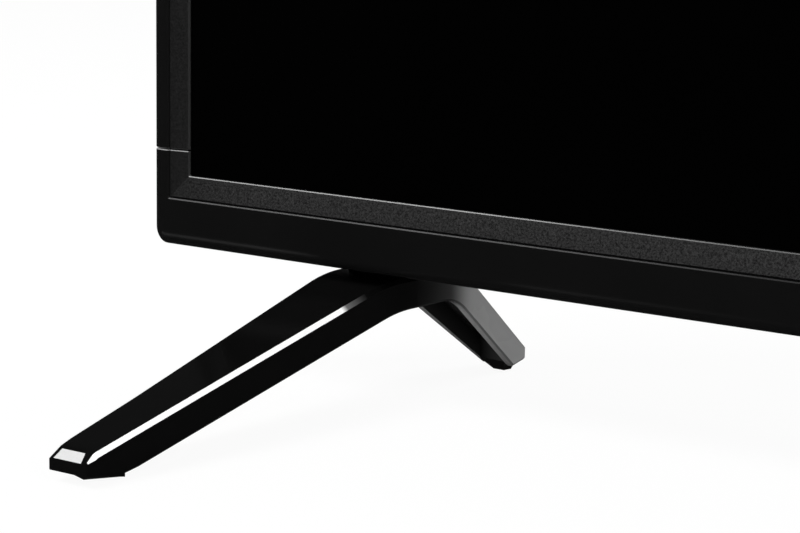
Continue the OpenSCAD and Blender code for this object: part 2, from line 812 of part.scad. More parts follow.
// Openings in the wells' inner walls for the sockets and the inlet
module socket_cuts() {
    x0 = well_x - cover_wall - cut;
    x1 = well_x + cut;
    for (i = [0, 1]) socket_cut(x0, x1, socket_z[i], socket_box(hdmi_hole));
    socket_cut(x0, x1, socket_z[2], socket_box(usb_hole));
    socket_cut(x0, x1, socket_z[3], [jack_w, jack_w]);
    socket_cut(x0, x1, socket_z[4], socket_box(lan_hole));
    socket_cut(x0, x1, socket_z[5], tuner);
    inlet_half = [inlet_pitch / 2 + inlet_r + inlet_wall + fit_gap, inlet_r + inlet_wall + fit_gap];
    block([-x1, inlet_y - inlet_half[1], inlet_z - inlet_half[0]],
        [-x0, inlet_y + inlet_half[1], inlet_z + inlet_half[0]]);
}

module socket_cut(x0, x1, z, box) {
    block([x0, board_back_y - fit_gap, z - box[0] / 2 - fit_gap],
        [x1, board_back_y + box[1] + fit_gap, z + box[0] / 2 + fit_gap]);
}

// Outer size of a socket from its opening
function socket_box(hole) = [hole[0] + 2 * shell_t, hole[1] + 2 * shell_t];

// Machine screws with their heads on a face
module screws(spots, face_y, l) {
    for (spot = spots) {
        rod(spot, face_y - l, face_y, shank_r);
        rod(spot, face_y, face_y + head_h, head_r);
    }
}

module cover_screws() {
    seat_y = edge_d - head_sink;
    color("#202020") on_body() screws(cover_spots, seat_y, seat_y - tray_back_y - tray_t);
}

// A circuit board behind the tray with its screw holes; side is 1 or -1
module big_board(side) {
    x = [side * board_gap, side * (board_gap + board_w)];
    difference() {
        block([min(x), board_y, board_z], [max(x), board_back_y, board_z + board_h]);
        for (spot = board_spots) rod(spot, board_y - cut, board_back_y + cut, shank_r + fit_gap);
    }
}

module main_board() {
    color("#1d6b33") on_body() big_board(1);
}

module power_board() {
    color("#c9a25c") on_body() big_board(-1);
}

module board_screws() {
    color("#c8c8c8") on_body() screws(board_spots, board_back_y, board_back_y - tray_back_y - tray_t);
}

// Middle of the processor and its heatsink
chip_spot = [board_gap + chip_x, board_z + chip_z];

// Processor and two memory chips in a column between processor and lower edge
module board_chips() {
    memory_x = chip_spot[0] + chip_w / 2;
    color("#151515") on_body() {
        block([chip_spot[0] - chip_w / 2, board_back_y, chip_spot[1] - chip_w / 2],
            [chip_spot[0] + chip_w / 2, board_back_y + chip_t, chip_spot[1] + chip_w / 2]);
        for (i = [0, 1]) {
            z = chip_spot[1] - heatsink_w / 2 - (i + 1) * (memory_h + screw_inset);
            block([memory_x - memory_w, board_back_y, z], [memory_x, board_back_y + chip_t, z + memory_h]);
        }
    }
}

module heatsink() {
    y = board_back_y + chip_t;
    pitch = (heatsink_w - fin_t) / (fin_count - 1);
    color("#9aa0a6") on_body() translate([chip_spot[0] - heatsink_w / 2, y, chip_spot[1] - heatsink_w / 2]) {
        cube([heatsink_w, heatsink_base, heatsink_w]);
        for (i = [0 : fin_count - 1]) translate([i * pitch, 0, 0]) cube([fin_t, heatsink_h, heatsink_w]);
    }
}

// Round capacitors of the mains side, as places from the board's middle, radius and height
capacitors = [[30, 40, 9, 24], [30, -10, 6, 18], [-30, -40, 5, 16], [-14, -40, 5, 16]];

module power_parts() {
    middle = [-(board_gap + board_w / 2), board_z + board_h / 2];
    color("#2c3e63") on_body() for (c = capacitors)
        rod([middle[0] + c[0], middle[1] + c[1]], board_back_y, board_back_y + c[3], c[2]);
}

// Ferrite core with a winding between its two yokes
module transformer() {
    color("#6d5a2a") on_body()
        translate([-(board_gap + board_w / 2), board_back_y, board_z + board_h / 2 - core_h / 2]) {
            for (z = [0, core_h - yoke_h]) translate([-core_w / 2, 0, z]) cube([core_w, core_d, yoke_h]);
            translate([0, core_d / 2, yoke_h - skin])
                cylinder(r = winding_r, h = core_h - 2 * yoke_h + 2 * skin);
        }
}

// Rectangular socket shell, mouth towards +X
module shell_socket(z, hole) {
    box = socket_box(hole);
    x0 = socket_x - socket_l;
    difference() {
        block([x0, board_back_y, z - box[0] / 2], [socket_x, board_back_y + box[1], z + box[0] / 2]);
        block([x0 + shell_t, board_back_y + shell_t, z - hole[0] / 2],
            [socket_x + cut, board_back_y + shell_t + hole[1], z + hole[0] / 2]);
    }
}

// Contact tongue in the middle of such a shell, as far from its ends as it is thick
module tongue(z, hole, t) {
    y = board_back_y + shell_t + hole[1] / 2;
    block([socket_x - socket_l, y - t / 2, z - hole[0] / 2 + t],
        [socket_x - t, y + t / 2, z + hole[0] / 2 - t]);
}

module hdmi_sockets() {
    color("#c4c4c4") on_body() for (i = [0, 1]) {
        shell_socket(socket_z[i], hdmi_hole);
        tongue(socket_z[i], hdmi_hole, hdmi_tongue);
    }
}

module usb_socket() {
    color("#c4c4c4") on_body() {
        shell_socket(socket_z[2], usb_hole);
        tongue(socket_z[2], usb_hole, usb_tongue);
    }
}

module lan_socket() {
    color("#b8b8b8") on_body() shell_socket(socket_z[4], lan_hole);
}

module headphone_jack() {
    color("#1a1a1a") on_body() difference() {
        block([socket_x - jack_l - shell_t, board_back_y, socket_z[3] - jack_w / 2],
            [socket_x, board_back_y + jack_w, socket_z[3] + jack_w / 2]);
        bar(socket_x - jack_l, socket_x + cut, board_back_y + jack_w / 2, socket_z[3], jack_r);
    }
}

// Tuner can on the board with a round barrel that reaches into the well
module aerial_socket() {
    z = socket_z[5];
    color("#d0d0cc") on_body() difference() {
        union() {
            block([socket_x - tuner_l, board_back_y, z - tuner[0] / 2],
                [socket_x, board_back_y + tuner[1], z + tuner[0] / 2]);
            bar(socket_x - skin, socket_x + aerial_l, aerial_y, z, aerial_r);
        }
        bar(socket_x, socket_x + aerial_l + cut, aerial_y, z, aerial_hole_r);
    }
}

// Figure-8 recess: two round lobes and the web between them, mouth towards -X
module figure_eight(x0, x1, r) {
    for (side = [-1, 1]) bar(x0, x1, inlet_y, inlet_z + side * inlet_pitch / 2, r);
    block([x0, inlet_y - inlet_web, inlet_z - inlet_pitch / 2],
        [x1, inlet_y + inlet_web, inlet_z + inlet_pitch / 2]);
}

module power_inlet() {
    half = [inlet_r + inlet_wall, inlet_pitch / 2 + inlet_r + inlet_wall];
    color("#121212") on_body() difference() {
        block([-socket_x, inlet_y - half[0], inlet_z - half[1]],
            [-socket_x + inlet_l + inlet_wall, inlet_y + half[0], inlet_z + half[1]]);
        figure_eight(-socket_x - cut, -socket_x + inlet_l, inlet_r);
    }
}

module inlet_pins() {
    color("#d8c27a") on_body() for (side = [-1, 1])
        bar(-socket_x + pin_sink, -socket_x + inlet_l, inlet_y, inlet_z + side * inlet_pitch / 2, pin_r);
}

// Closed speaker box that stands on the bulge's floor and fires down through its grille
module speaker_box(side) {
    color("#1c1c1c") on_body() translate([side * speaker_mid, speaker_y, speaker_z]) difference() {
        translate([-speaker_w / 2, 0, 0]) cube([speaker_w, speaker_d, speaker_h]);
        translate([-speaker_w / 2 + speaker_wall, speaker_wall, speaker_wall])
            cube([speaker_w - 2 * speaker_wall, speaker_d - 2 * speaker_wall, speaker_h - 2 * speaker_wall]);
        translate([0, speaker_d / 2, -cut]) cylinder(r = cone_r, h = speaker_wall + 2 * cut);
    }
}

module speaker_left() {
    speaker_box(-1);
}

module speaker_right() {
    speaker_box(1);
}

// Cone with its surround ring seated on the box's floor
module speaker_cones() {
    color("#3a3a3a") on_body() for (side = [-1, 1])
        translate([side * speaker_mid, speaker_y + speaker_d / 2, speaker_z + speaker_wall])
            rotate_extrude() polygon([
                [0, cone_h - ring_w], [cap_r, cone_h - ring_w], [cone_r - ring_w, 0], [cone_r + ring_w, 0],
                [cone_r + ring_w, ring_w], [cone_r, ring_w], [cap_r + ring_w, cone_h], [0, cone_h]
            ]);
}

// Two-core leads from the main board's lower edge to the boxes
module speaker_wires() {
    lead_y = board_back_y + wire_r;
    lead_z = speaker_z + speaker_h + wire_r;
    color("#303030") on_body() for (side = [-1, 1]) {
        start = board_gap + wire_x + side * wire_pitch / 2;
        wire([
            [start, lead_y, board_z + 2 * screw_inset],
            [start, lead_y, lead_z],
            [side * (speaker_mid - speaker_w / 4), speaker_y + speaker_d / 4, lead_z]
        ], wire_r);
    }
}

module key_board() {
    color("#1d6b33") on_body()
        block([receiver_x / 2 - key_w / 2, button_y - key_d / 2, key_z],
            [receiver_x / 2 + key_w / 2, button_y + key_d / 2, key_z + key_t]);
}

module key_switch() {
    color("#303030") on_body() difference() {
        block([-switch_w / 2, button_y - switch_w / 2, switch_z],
            [switch_w / 2, button_y + switch_w / 2, key_z]);
        translate([0, button_y, switch_z - cut])
            cylinder(r = plunger_r + fit_gap, h = cut + plunger_in + button_travel + fit_gap);
    }
}

module switch_plunger() {
    color("#e0e0e0") on_body() translate([0, button_y, switch_z - plunger_proud])
        cylinder(r = plunger_r, h = plunger_proud + plunger_in);
}

// Button held from inside by its collar, with a stem up to the plunger
module power_button() {
    stem_top = switch_z - plunger_proud;
    color("#101010") on_body() translate([0, button_y, 0]) rotate_extrude() polygon([
        [0, -button_proud], [button_r - button_proud / 2, -button_proud],
        [button_r, -button_proud / 2], [button_r, bezel_wall], [collar_r, bezel_wall],
        [collar_r, bezel_wall + collar_t], [plunger_r, bezel_wall + collar_t],
        [plunger_r, stem_top], [0, stem_top]
    ]);
}

module receiver_eye() {
    y = button_y - key_d / 2;
    color("#1a1014") on_body() block([receiver_x - receiver_w / 2, y, key_z - receiver_h],
        [receiver_x + receiver_w / 2, y + receiver_d, key_z]);
}

module receiver_window() {
    flange = 2 * lens_flange;
    color("#2a0a0a") on_body() translate([receiver_x, 0, sill_h / 2]) {
        pill(lens_window_l, lens_window_h, lens_sink, panel_y + skin);
        pill(lens_window_l + flange, lens_window_h + flange, panel_y, panel_y + lens_flange);
    }
}

module wall_mount_posts() {
    color("#a8acb0") on_body() for (spot = mount_spots) difference() {
        rod(spot, tray_back_y, body_d, mount_post_r);
        rod(spot, body_d - mount_thread_l, body_d + cut, mount_thread_r);
    }
}

// Lines of the foot's side view, as depth behind the screen's face and height over the table
nose = [-foot_front, nose_z];
top_z = stand_lift - seat_h;
top_line = concat(
    [nose + [0, nose_h], nose + [nose_bevel_l, nose_h + nose_bevel_h]],
    arc_at(nose + [nose_bevel_l, nose_h + nose_bevel_h], [top_front_y, top_z], [top_back_y, top_z], top_round),
    [[top_back_y, top_z], [foot_back, nose_z + nose_h]]
);
arch_z = stand_lift - foot_t;
front_pad = [front_pad_y - foot_front, front_pad_y - foot_front + front_pad_l];
back_pad = [foot_back - back_pad_y - back_pad_l, foot_back - back_pad_y];
arch_front = [arch_front_y, arch_z];
arch_back = [arch_back_y, arch_z];
under_line = concat(
    [nose, [front_pad[0], pad_t], [front_pad[1], pad_t]],
    arc_at([front_pad[1], pad_t], arch_front, arch_back, arch_round),
    arc_at(arch_front, arch_back, [back_pad[0], pad_t], heel_round),
    [[back_pad[0], pad_t], [back_pad[1], pad_t], [foot_back, nose_z]]
);

// Points of the arc of radius r that rounds the corner b between a and c
function arc_at(a, b, c, r, n = 4) = let(
    u = (a - b) / norm(a - b),
    v = (c - b) / norm(c - b),
    half = acos(u * v) / 2,
    middle = b + (u + v) / norm(u + v) * r / sin(half),
    from = b + u * r / tan(half) - middle,
    to = b + v * r / tan(half) - middle
) [for (i = [0 : n]) let(p = from * (1 - i / n) + to * i / n) middle + p / norm(p) * r];

// The sorted values of a list, each once
function sorted(v) = len(v) < 2 ? v : concat(
    sorted([for (x = v) if (x < v[0]) x]), [v[0]], sorted([for (x = v) if (x > v[0]) x])
);

// Plan of the foot: middle line and half width at a depth
function foot_mid(y) = lookup(y, [[-foot_front, -front_sweep], [foot_mount_y, 0], [foot_back, back_sweep]]);
function foot_width(y) = lookup(y, [[-foot_front, tip_w], [foot_mount_y, foot_w], [foot_back, heel_w]]);
function foot_half(y) = foot_width(y) / 2;

// Width of the bright-cut chamfer at a depth: the bevel above the nose runs it out
function foot_cut(y) = lookup(y, [[-foot_front, nose_chamfer], [nose_bevel_l - foot_front, foot_chamfer]]);

// Cross section of the foot at a depth, with chamfered edges
function foot_ring(y) = let(
    l = foot_mid(y) - foot_half(y),
    r = foot_mid(y) + foot_half(y),
    b = lookup(y, under_line),
    t = lookup(y, top_line),
    c = foot_cut(y)
) [
    [l + foot_rim, y, b], [r - foot_rim, y, b], [r, y, b + foot_rim], [r, y, t - c],
    [r - c, y, t], [l + foot_edge, y, t], [l, y, t - foot_edge], [l, y, b + foot_rim]
];

// Cross section of the hollow under the foot
function hollow_ring(y) = let(
    l = foot_mid(y) - foot_half(y) + foot_wall,
    r = foot_mid(y) + foot_half(y) - foot_wall,
    b = lookup(y, under_line) - cut,
    t = lookup(y, top_line) - foot_roof
) [[l, y, b], [r, y, b], [r, y, t], [l, y, t]];

// Solid through a row of cross sections that all have as many points
module loft(rings) {
    n = len(rings[0]);
    last = (len(rings) - 1) * n;
    sides = [
        for (i = [0 : len(rings) - 2]) for (j = [0 : n - 1])
        let(a = i * n + j, b = i * n + (j + 1) % n)
        each [[a, b, b + n], [a, b + n, a + n]]
    ];
    caps = [[for (j = [n - 1 : -1 : 0]) j], [for (j = [0 : n - 1]) last + j]];
    polyhedron([for (ring = rings) each ring], concat(sides, caps));
}

foot_stations = sorted([for (p = concat(top_line, under_line, [[foot_mount_y, 0]])) p[0]]);
hollow_ends = [front_pad[1] + foot_wall, back_pad[0] - foot_wall];
hollow_stations = concat(
    [hollow_ends[0]],
    [for (y = foot_stations) if (y > hollow_ends[0] && y < hollow_ends[1]) y],
    [hollow_ends[1]]
);

// Underside of the foot's roof, where the screw heads sit
foot_head_z = top_z - foot_roof;

// Left foot with its middle at x = 0: lofted shell, raised seat and two screw holes
module foot() {
    seat_w = foot_w - 2 * foot_wall;
    difference() {
        union() {
            loft([for (y = foot_stations) foot_ring(y)]);
            block([-seat_w / 2, bracket_y, foot_head_z], [seat_w / 2, bracket_y + bracket_d, stand_lift]);
        }
        loft([for (y = hollow_stations) hollow_ring(y)]);
        for (y = foot_screw_spots) translate([0, y, 0]) {
            cylinder(r = foot_thread_r + fit_gap, h = stand_lift + cut);
            cylinder(r = foot_head_r + fit_gap, h = foot_head_z);
        }
    }
}

// Places children on the left and, mirrored, on the right
module at_foot(side) {
    mirror([side > 0 ? 1 : 0, 0, 0]) translate([-foot_x, front_y, 0]) children();
}

module foot_left() {
    color("#0c0c0c") at_foot(-1) foot();
}

module foot_right() {
    color("#0c0c0c") at_foot(1) foot();
}

module foot_pads() {
    color("#232323") for (side = [-1, 1]) at_foot(side) for (span = [front_pad, back_pad])
        linear_extrude(pad_t) polygon([
            for (p = [[0, -1], [0, 1], [1, 1], [1, -1]])
            [foot_mid(span[p[0]]) + p[1] * (foot_half(span[p[0]]) - pad_inset), span[p[0]]]
        ]);
}

module foot_screws() {
    shank_l = seat_h + foot_roof / 2 + cover_wall + bracket_h;
    color("#b0b0b0") for (side = [-1, 1]) at_foot(side) for (y = foot_screw_spots)
        translate([0, y, foot_head_z]) {
            cylinder(r = foot_screw_r, h = shank_l);
            translate([0, 0, -foot_head_h]) cylinder(r = foot_head_r, h = foot_head_h);
        }
}

// Threaded steel bracket on the cover's floor above a foot
module foot_bracket(side) {
    color("#a0a4a8") on_body() translate([side * foot_x, 0, cover_wall]) difference() {
        block([-bracket_w / 2, bracket_y, 0], [bracket_w / 2, bracket_y + bracket_d, bracket_h]);
        for (y = foot_screw_spots)
            translate([0, y, -cut]) cylinder(r = foot_thread_r, h = bracket_h + 2 * cut);
    }
}

module foot_bracket_left() {
    foot_bracket(-1);
}

module foot_bracket_right() {
    foot_bracket(1);
}

lower_bezel();
upper_bezel();
lcd_panel();
panel_guide();
prism_film();
diffuser_film();
diffuser_plate();
reflector_sheet();
led_bars();
led_lenses();
diffuser_posts();
backlight_tray();
source_board();
panel_ribbon();
rear_cover();
cover_screws();
main_board();
board_chips();
heatsink();
power_board();
power_parts();
transformer();
board_screws();
hdmi_sockets();
usb_socket();
headphone_jack();
lan_socket();
aerial_socket();
power_inlet();
inlet_pins();
speaker_left();
speaker_right();
speaker_cones();
speaker_wires();
key_board();
key_switch();
switch_plunger();
power_button();
receiver_eye();
receiver_window();
wall_mount_posts();
foot_left();
foot_right();
foot_pads();
foot_screws();
foot_bracket_left();
foot_bracket_right();
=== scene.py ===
"""Looks of a flat screen TV of the 32-inch class on two V-shaped feet.

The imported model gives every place. The bezels, the feet with their pads and seats, the screws and the
contacts are worked out here as fine surfaces, and every piece gets its finish. Lengths are millimetres.
"""
import math

import bmesh
import bpy
import numpy as np
from mathutils import Matrix, Vector

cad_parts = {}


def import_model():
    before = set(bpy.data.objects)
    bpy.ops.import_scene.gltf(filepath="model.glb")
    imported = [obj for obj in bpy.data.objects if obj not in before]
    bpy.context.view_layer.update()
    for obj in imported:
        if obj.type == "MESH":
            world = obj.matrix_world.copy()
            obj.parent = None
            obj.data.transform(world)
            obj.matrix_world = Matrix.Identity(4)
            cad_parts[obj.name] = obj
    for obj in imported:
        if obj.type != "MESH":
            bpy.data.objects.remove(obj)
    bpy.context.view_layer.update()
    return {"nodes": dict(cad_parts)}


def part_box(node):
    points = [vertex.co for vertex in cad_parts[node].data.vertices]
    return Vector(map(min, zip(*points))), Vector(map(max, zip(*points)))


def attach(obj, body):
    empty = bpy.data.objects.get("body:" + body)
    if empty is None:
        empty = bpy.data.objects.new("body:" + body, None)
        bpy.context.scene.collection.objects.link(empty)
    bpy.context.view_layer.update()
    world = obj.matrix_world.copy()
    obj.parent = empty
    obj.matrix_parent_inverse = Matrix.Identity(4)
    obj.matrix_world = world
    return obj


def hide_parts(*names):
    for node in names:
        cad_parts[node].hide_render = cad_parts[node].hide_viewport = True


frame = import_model()
nodes = frame["nodes"]

MM = 0.001


def low(node):
    """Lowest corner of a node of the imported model, in millimetres."""
    return np.array(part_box(node)[0]) / MM


def high(node):
    """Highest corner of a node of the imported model, in millimetres."""
    return np.array(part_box(node)[1]) / MM


def middle(node):
    """Middle of a node's box, in millimetres."""
    return (low(node) + high(node)) / 2


# Driving places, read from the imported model
FRONT_Y = low("lower_bezel")[1]
UNDER_Z = low("lower_bezel")[2]
TOP_Z = high("upper_bezel")[2]
BODY_W = high("lower_bezel")[0] - low("lower_bezel")[0]
BEZEL_D = high("lower_bezel")[1] - FRONT_Y
SEAM_LOW = high("lower_bezel")[2]
SEAM_HIGH = low("upper_bezel")[2]
PANEL_Y = low("lcd_panel")[1] - FRONT_Y

# Fineness of the surfaces: width of the step between two marks, counts of rows and sides, the angle in
# degrees past which an edge stays sharp, and the distance in metres at which points are joined
CRISP = 0.03
ARC_ROWS = 16
CORNER_ROWS = 9
SILL_ROWS = 72
SEAM_ROWS = 2
INNER_WALL_ROWS = 2
PLUG_SIDES = 48
SHARP = 35.0
JOIN_DISTANCE = 1e-7

# Bezel: radii of its corners, widths across its face and depths behind it, and the share of the lip that
# is bright
CORNER_R = 5.0
INNER_R = 0.5
BEZEL_WALL = 2.2
RIM_W = 6.2
RIM_CHAMFER = 0.3
SILL_H = 14.13
GROOVE_W = 0.6
GROOVE_STEP = 0.4
BAND_W = 6.0
SILL_BAND_W = 6.27
BAND_STEP = 0.4
BAND_FALL = 0.9
LIP_IN = RIM_W + GROOVE_W + BAND_W
LIP_W = 0.4
LIP_DROP = 0.6
BRIGHT_LIP = 0.55
SEAM_CHAMFER = 0.2

# Front rounding: its radius, the share of its depth along the sill, and the flat rows next to it
FRONT_ROUND = 3.0
SILL_SHARE = 0.45
FLAT_STEPS = (CRISP, 0.3, 0.6, 1.2)

# Openings in the lower bezel, and how far their cutters reach past the wall
WINDOW_FLANGE = 0.8
BUTTON_R = 3.7
FIT_GAP = 0.3
CUT_SPARE = 1.0

# Painted highlights on the bezel's fine edges and painted light in the groove at the sides, made as paler
# colour and not as reflections: their strength, from 0 to 1
SILL_GLINT = 0.26
LIP_GLINT = 0.9
SEAM_GLINT = 0.7
UPPER_SEAM_GLINT = 0.06
SIDE_LIP = 0.07
SIDE_GROOVE = 0.03
SIDE_RIM = 0.006

# Gleam of the front rounding, also made as colour: strength, inset of its middle and width
ROUND_GLEAM = 0.0315
GLEAM_IN = 2.9
GLEAM_W = 0.4

# How strongly the band is grained, and so how pale it is, where it starts and at the sides of the screen.
# At the sides this is painted shade: the band is made darker and smoother there, as less light falls on it
BAND_START = 0.85
SIDE_BAND = 0.33

# How the painted glints and the grain change along the sill: distances from the set's middle, and the
# shares there. The painted glints fade towards the middle, as less light falls there, and the painted
# gleam of the rounding is left out over each foot, as painted reflection of the dark foot
SILL_FADE = ((160, 220, 270), (0.22, 0.62, 0.87))
LIP_FADE = ((160, 200, 245), (0.38, 0.54, 1.0))
ROUND_FADE = ((160, 230, 242, 303, 313), (0.05, 0.4, 0.0, 0.0, 1.0))
BAND_FADE = ((325, 355), (1.0, 0.6))

# Foot, in its own frame: middle of the fixing at x = 0, bezel's face at y = 0, table at z = 0. Its nose is
# a little shorter than the solid's, and it stands a little further in
NOSE_TRIM = 0.9
FOOT_FRONT = FRONT_Y - low("foot_left")[1] - NOSE_TRIM
FOOT_BACK = high("foot_left")[1] - FRONT_Y
FOOT_X = -middle("foot_bracket_left")[0]
FOOT_INSET = 0.3
FOOT_MOUNT_Y = middle("foot_bracket_left")[1] - FRONT_Y
FOOT_ROWS = 90

# Foot in plan: three stations, the sweep and width there, and how far the sides swell, the inner one at
# the stations and the outer one by its distance from the nose
FOOT_SPINE = (-FOOT_FRONT, FOOT_MOUNT_Y, FOOT_BACK)
FRONT_SWEEP = 7.9
BACK_SWEEP = 11.8
TIP_W = 11.7
FOOT_W = 24.6
HEEL_W = 9.6
INNER_BULGE = (0.5, 0.5, -0.1)
OUTER_BULGE = ((0, 4.3, 8.5, 32), (0.2, 0.34, 0.6, 0))

# Foot in side view: nose, upper line, arch, sole and heel
NOSE_Z = 3.1
NOSE_H = 3.3
NOSE_BEVEL = (4.3, 2.2)
SEAT_H = 3.3
TOP_SPAN = (6.1, 40.4)
TOP_ROUND = 55.0
FOOT_T = 12.87
ARCH_SPAN = (11.9, 38.2)
ARCH_ROUND = 50.0
SOLE = (-FOOT_FRONT + 13.4, 0.45)
SOLE_STEP = 1.1
SOLE_RAMP = (5.5, 2.0)
PAD_T = high("foot_pads")[2]
TOE_PAD = (-FOOT_FRONT + 9.9, -FOOT_FRONT + 15.3)
HEEL_PAD_Y = FOOT_BACK - 5.8
HEEL_ROUND = 16.0
HEEL_RISE = 0.3
HEEL_Z = 2.4

# Foot in cross section; a pair of rows holds depths and the values there
FOOT_CHAMFER = 1.15
NOSE_CHAMFER = 0.1
FOOT_EDGE = 0.3
RIM_RISE = 0.7
FAR_RIM = 0.15
FOOT_WALL = 2.0
FOOT_ROOF = 4.0
NEAR_WALL = ((SOLE[0], FOOT_MOUNT_Y, HEEL_PAD_Y), (4.0, 2.6, 2.4))
FAR_WALL = ((FOOT_MOUNT_Y, ARCH_SPAN[1], HEEL_PAD_Y), (2.6, 2.6, 1.3))
RIM_LIFT = ((-FOOT_FRONT, SOLE[0], FOOT_MOUNT_Y, ARCH_SPAN[1] + 2), (-0.7, 0, 0, 0.1))
RIM_CUT = ((FOOT_MOUNT_Y, ARCH_SPAN[1]), (0.8, 0.5))

# Painted highlight on the nose's facet, made as white colour: brightness, and how far it stays in from its
# neighbours
TIP_BRIGHT = 0.6
TIP_FRONT = 0.05
TIP_BACK = 0.85
TIP_OUTER = 1.2
TIP_INNER = (1.6, 2.6)

# Painted highlight along the foot's chamfer, made as a white strip: where it starts and is full, the main
# fall at its end, and its faint tail
STRIP_START = -FOOT_FRONT + 0.7
STRIP_FULL = -FOOT_FRONT + 3.4
STRIP_END = (-12.5, -10.5)
STRIP_FALL = 0.9
STRIP_TAIL = (-10.5, -2.0)

# Painted reflection as grey sheen towards the heel: a faint first rise, the main rise, and each face's
# share
DUSK = 0.1
DUSK_RISE = (14.0, 35.0)
GLOSS_RISE = (34.5, 47.0)
GLOSS = {
    "side_top": 0.96, "side_low": 1.06, "rim_edge": 0.4, "rim_start": 0.8, "rim_end": 0.95,
    "near_wall_low": 0.1, "near_wall_top": 0.2, "far_wall_top": 0.01, "far_wall_low": 0.04,
    "far_rim": 0.5,
}

# Pads under toe and heel: rows along the depth, heights of the lower face as shares of the pad's
# thickness, how deep they sit in the foot, and how far top and bottom stay in from the two sides
TOE_ROWS = (-0.6, 0, 4, 4.6)
TOE_FACE = (0.4, 0, 0, 0.4)
TOE_SIDES = (1.5, 2.0), (6.0, 6.5)
HEEL_ROWS = (-1.8, -1.0, 1.0, 1.6)
HEEL_FACE = (0, 0, 0, 1.6)
HEEL_SIDES = (0.3, 6.0), np.array([[2.5, 2.5, 0.8, 0.8], [2.2, 2.2, 1.7, 1.7]])
PAD_SUNK = 0.2

# Seats between the feet and the set
SEAT_ROWS = 4
SEAT_SUNK = 1.0
SEAT_SIDES = (0.4, 0.4), (2.2, 2.2)

# Screws: cross recess in shares of the head's radius, and its depth; dome as a share of the head's height;
# radius of the shank's end; and as sizes the shank's length and radius and the head's radius and height
RECESS_ARM = 0.58
RECESS_HALF = 0.15
RECESS_SLOPE = 0.06
RECESS_DEPTH = 0.9
DOME_SHARE = 0.35
DOME_ROWS = 25
SCREW_SIDES = 64
SCREW_POINT = 0.01
COVER_HEAD_H = 1.8
COVER_SHANK = high("cover_screws")[1] - low("cover_screws")[1] - COVER_HEAD_H
COVER_SCREW = (COVER_SHANK, 1.2, 2.8, COVER_HEAD_H)
FOOT_SCREW = (17.5, 1.9, 3.6, 2.6)
FOOT_SCREW_PITCH = 10.0

# Contacts: height of a video socket, count, pitch and width of each row, the place of its tongue, and the
# bars' reach and thickness
VIDEO_SOCKET = 15.6
VIDEO_ROW = (9, 1.2, 0.6)
DATA_ROW = (4, 2.3, 1.0)
NETWORK_ROW = (8, 1.02, 0.45)
VIDEO_TONGUE = 0.5
DATA_TONGUE = 0.9
NETWORK_TONGUE = 2.4
CONTACT_REACH = (10.5, 2.2)
CONTACT_T = (0.05, 0.12)

# Studio: size of the floor, how much of its glow camera and mirrors see, the glow's strength in mirrors,
# and the brightness of the surroundings for diffuse light and, by height, in mirrors
FLOOR_HALF = 6000.0
FLOOR_LINES = 13
FLOOR_SEEN = 0.94
FLOOR_MIRRORED = 0.95
FLOOR_DIM = 0.05
SKY_DIFFUSE = 0.45
SKY_STOPS = (0.12, 0.6), (0.5, 0.06)

# The photograph's camera: place in millimetres, turns in radians, focal length on a 36 mm wide frame, and
# the nearest and farthest that it sees in metres
CAMERA_AT = (88.8, FRONT_Y - 538.66, UNDER_Z + 128.67)
CAMERA_TURN = 0.59296
CAMERA_DIP = 0.19055
CAMERA_ROLL = 0.01731
CAMERA_LENS = 105.385
CAMERA_FRAME = 36.0
CAMERA_CLIP = (0.01, 100.0)


class Wire:
    """One socket of a node tree. Arithmetic on wires adds Math nodes, and make() adds any other node."""

    def __init__(self, tree, socket=None):
        self.tree = tree
        self.socket = socket

    def make(self, kind, settings=None, sockets=None, out=0):
        """A node of that kind: its settings first, then the values or wires of its sockets."""
        node = self.tree.nodes.new("ShaderNode" + kind)
        for key, value in (settings or {}).items():
            if key == "stops":
                ramp = node.color_ramp.elements
                while len(ramp) < len(value):
                    ramp.new(1.0)
                for stop, (position, level) in zip(ramp, value):
                    stop.position = position
                    stop.color = grey(level)
            else:
                setattr(node, key, value)
        for key, value in (sockets or {}).items():
            self.plug(node.inputs[key], value)
        return Wire(self.tree, node.outputs[out])

    def plug(self, socket, value):
        """Links a wire to a socket, or sets the socket to a plain value."""
        if isinstance(value, Wire):
            self.tree.links.new(value.socket, socket)
        else:
            socket.default_value = value

    def math(self, operation, *terms):
        """A Math node with that operation."""
        return self.make("Math", {"operation": operation}, dict(enumerate(terms)))

    def __add__(self, other):
        return self.math("ADD", self, other)

    __radd__ = __add__

    def __sub__(self, other):
        return self.math("SUBTRACT", self, other)

    def __rsub__(self, other):
        return self.math("SUBTRACT", other, self)

    def __mul__(self, other):
        return self.math("MULTIPLY", self, other)

    __rmul__ = __mul__

    # Short forms of the nodes that most finishes use

    def place(self):
        """Place on the piece, in metres."""
        return self.make("TexCoord", out="Object")

    def mark(self, name):
        """A number stored on the piece's points."""
        return self.make("Attribute", {"attribute_name": name}, out="Fac")

    def noise(self, size, detail=2.0, roughness=0.5):
        """Cloudy noise whose lumps are about that many millimetres wide."""
        return self.make("TexNoise", None, {
            "Vector": self.place(), "Scale": 1.0 / (size * MM), "Detail": detail, "Roughness": roughness,
        })

    def tint(self, share, first, second):
        """Colour between two colours."""
        return self.make("Mix", {"data_type": "RGBA"}, {0: share, 6: first, 7: second}, out=2)

    def curve(self, value, *stops):
        """A value sent through a ramp of grey stops."""
        return self.make("ValToRGB", {"stops": stops}, {"Fac": value})

    def bump(self, height, depth, strength=1.0):
        """Normal of a relief that is about that many millimetres deep."""
        return self.make("Bump", None, {"Height": height, "Distance": depth * MM, "Strength": strength})

    def ray_kinds(self):
        """Whether a ray comes from the camera, straight or through glass, and whether off a mirror."""
        straight = self.make("LightPath", out="Is Camera Ray")
        through = self.make("LightPath", out="Is Transmission Ray")
        return straight + through, self.make("LightPath", out="Is Glossy Ray")


def grey(level):
    """A neutral colour."""
    return (level, level, level, 1.0)


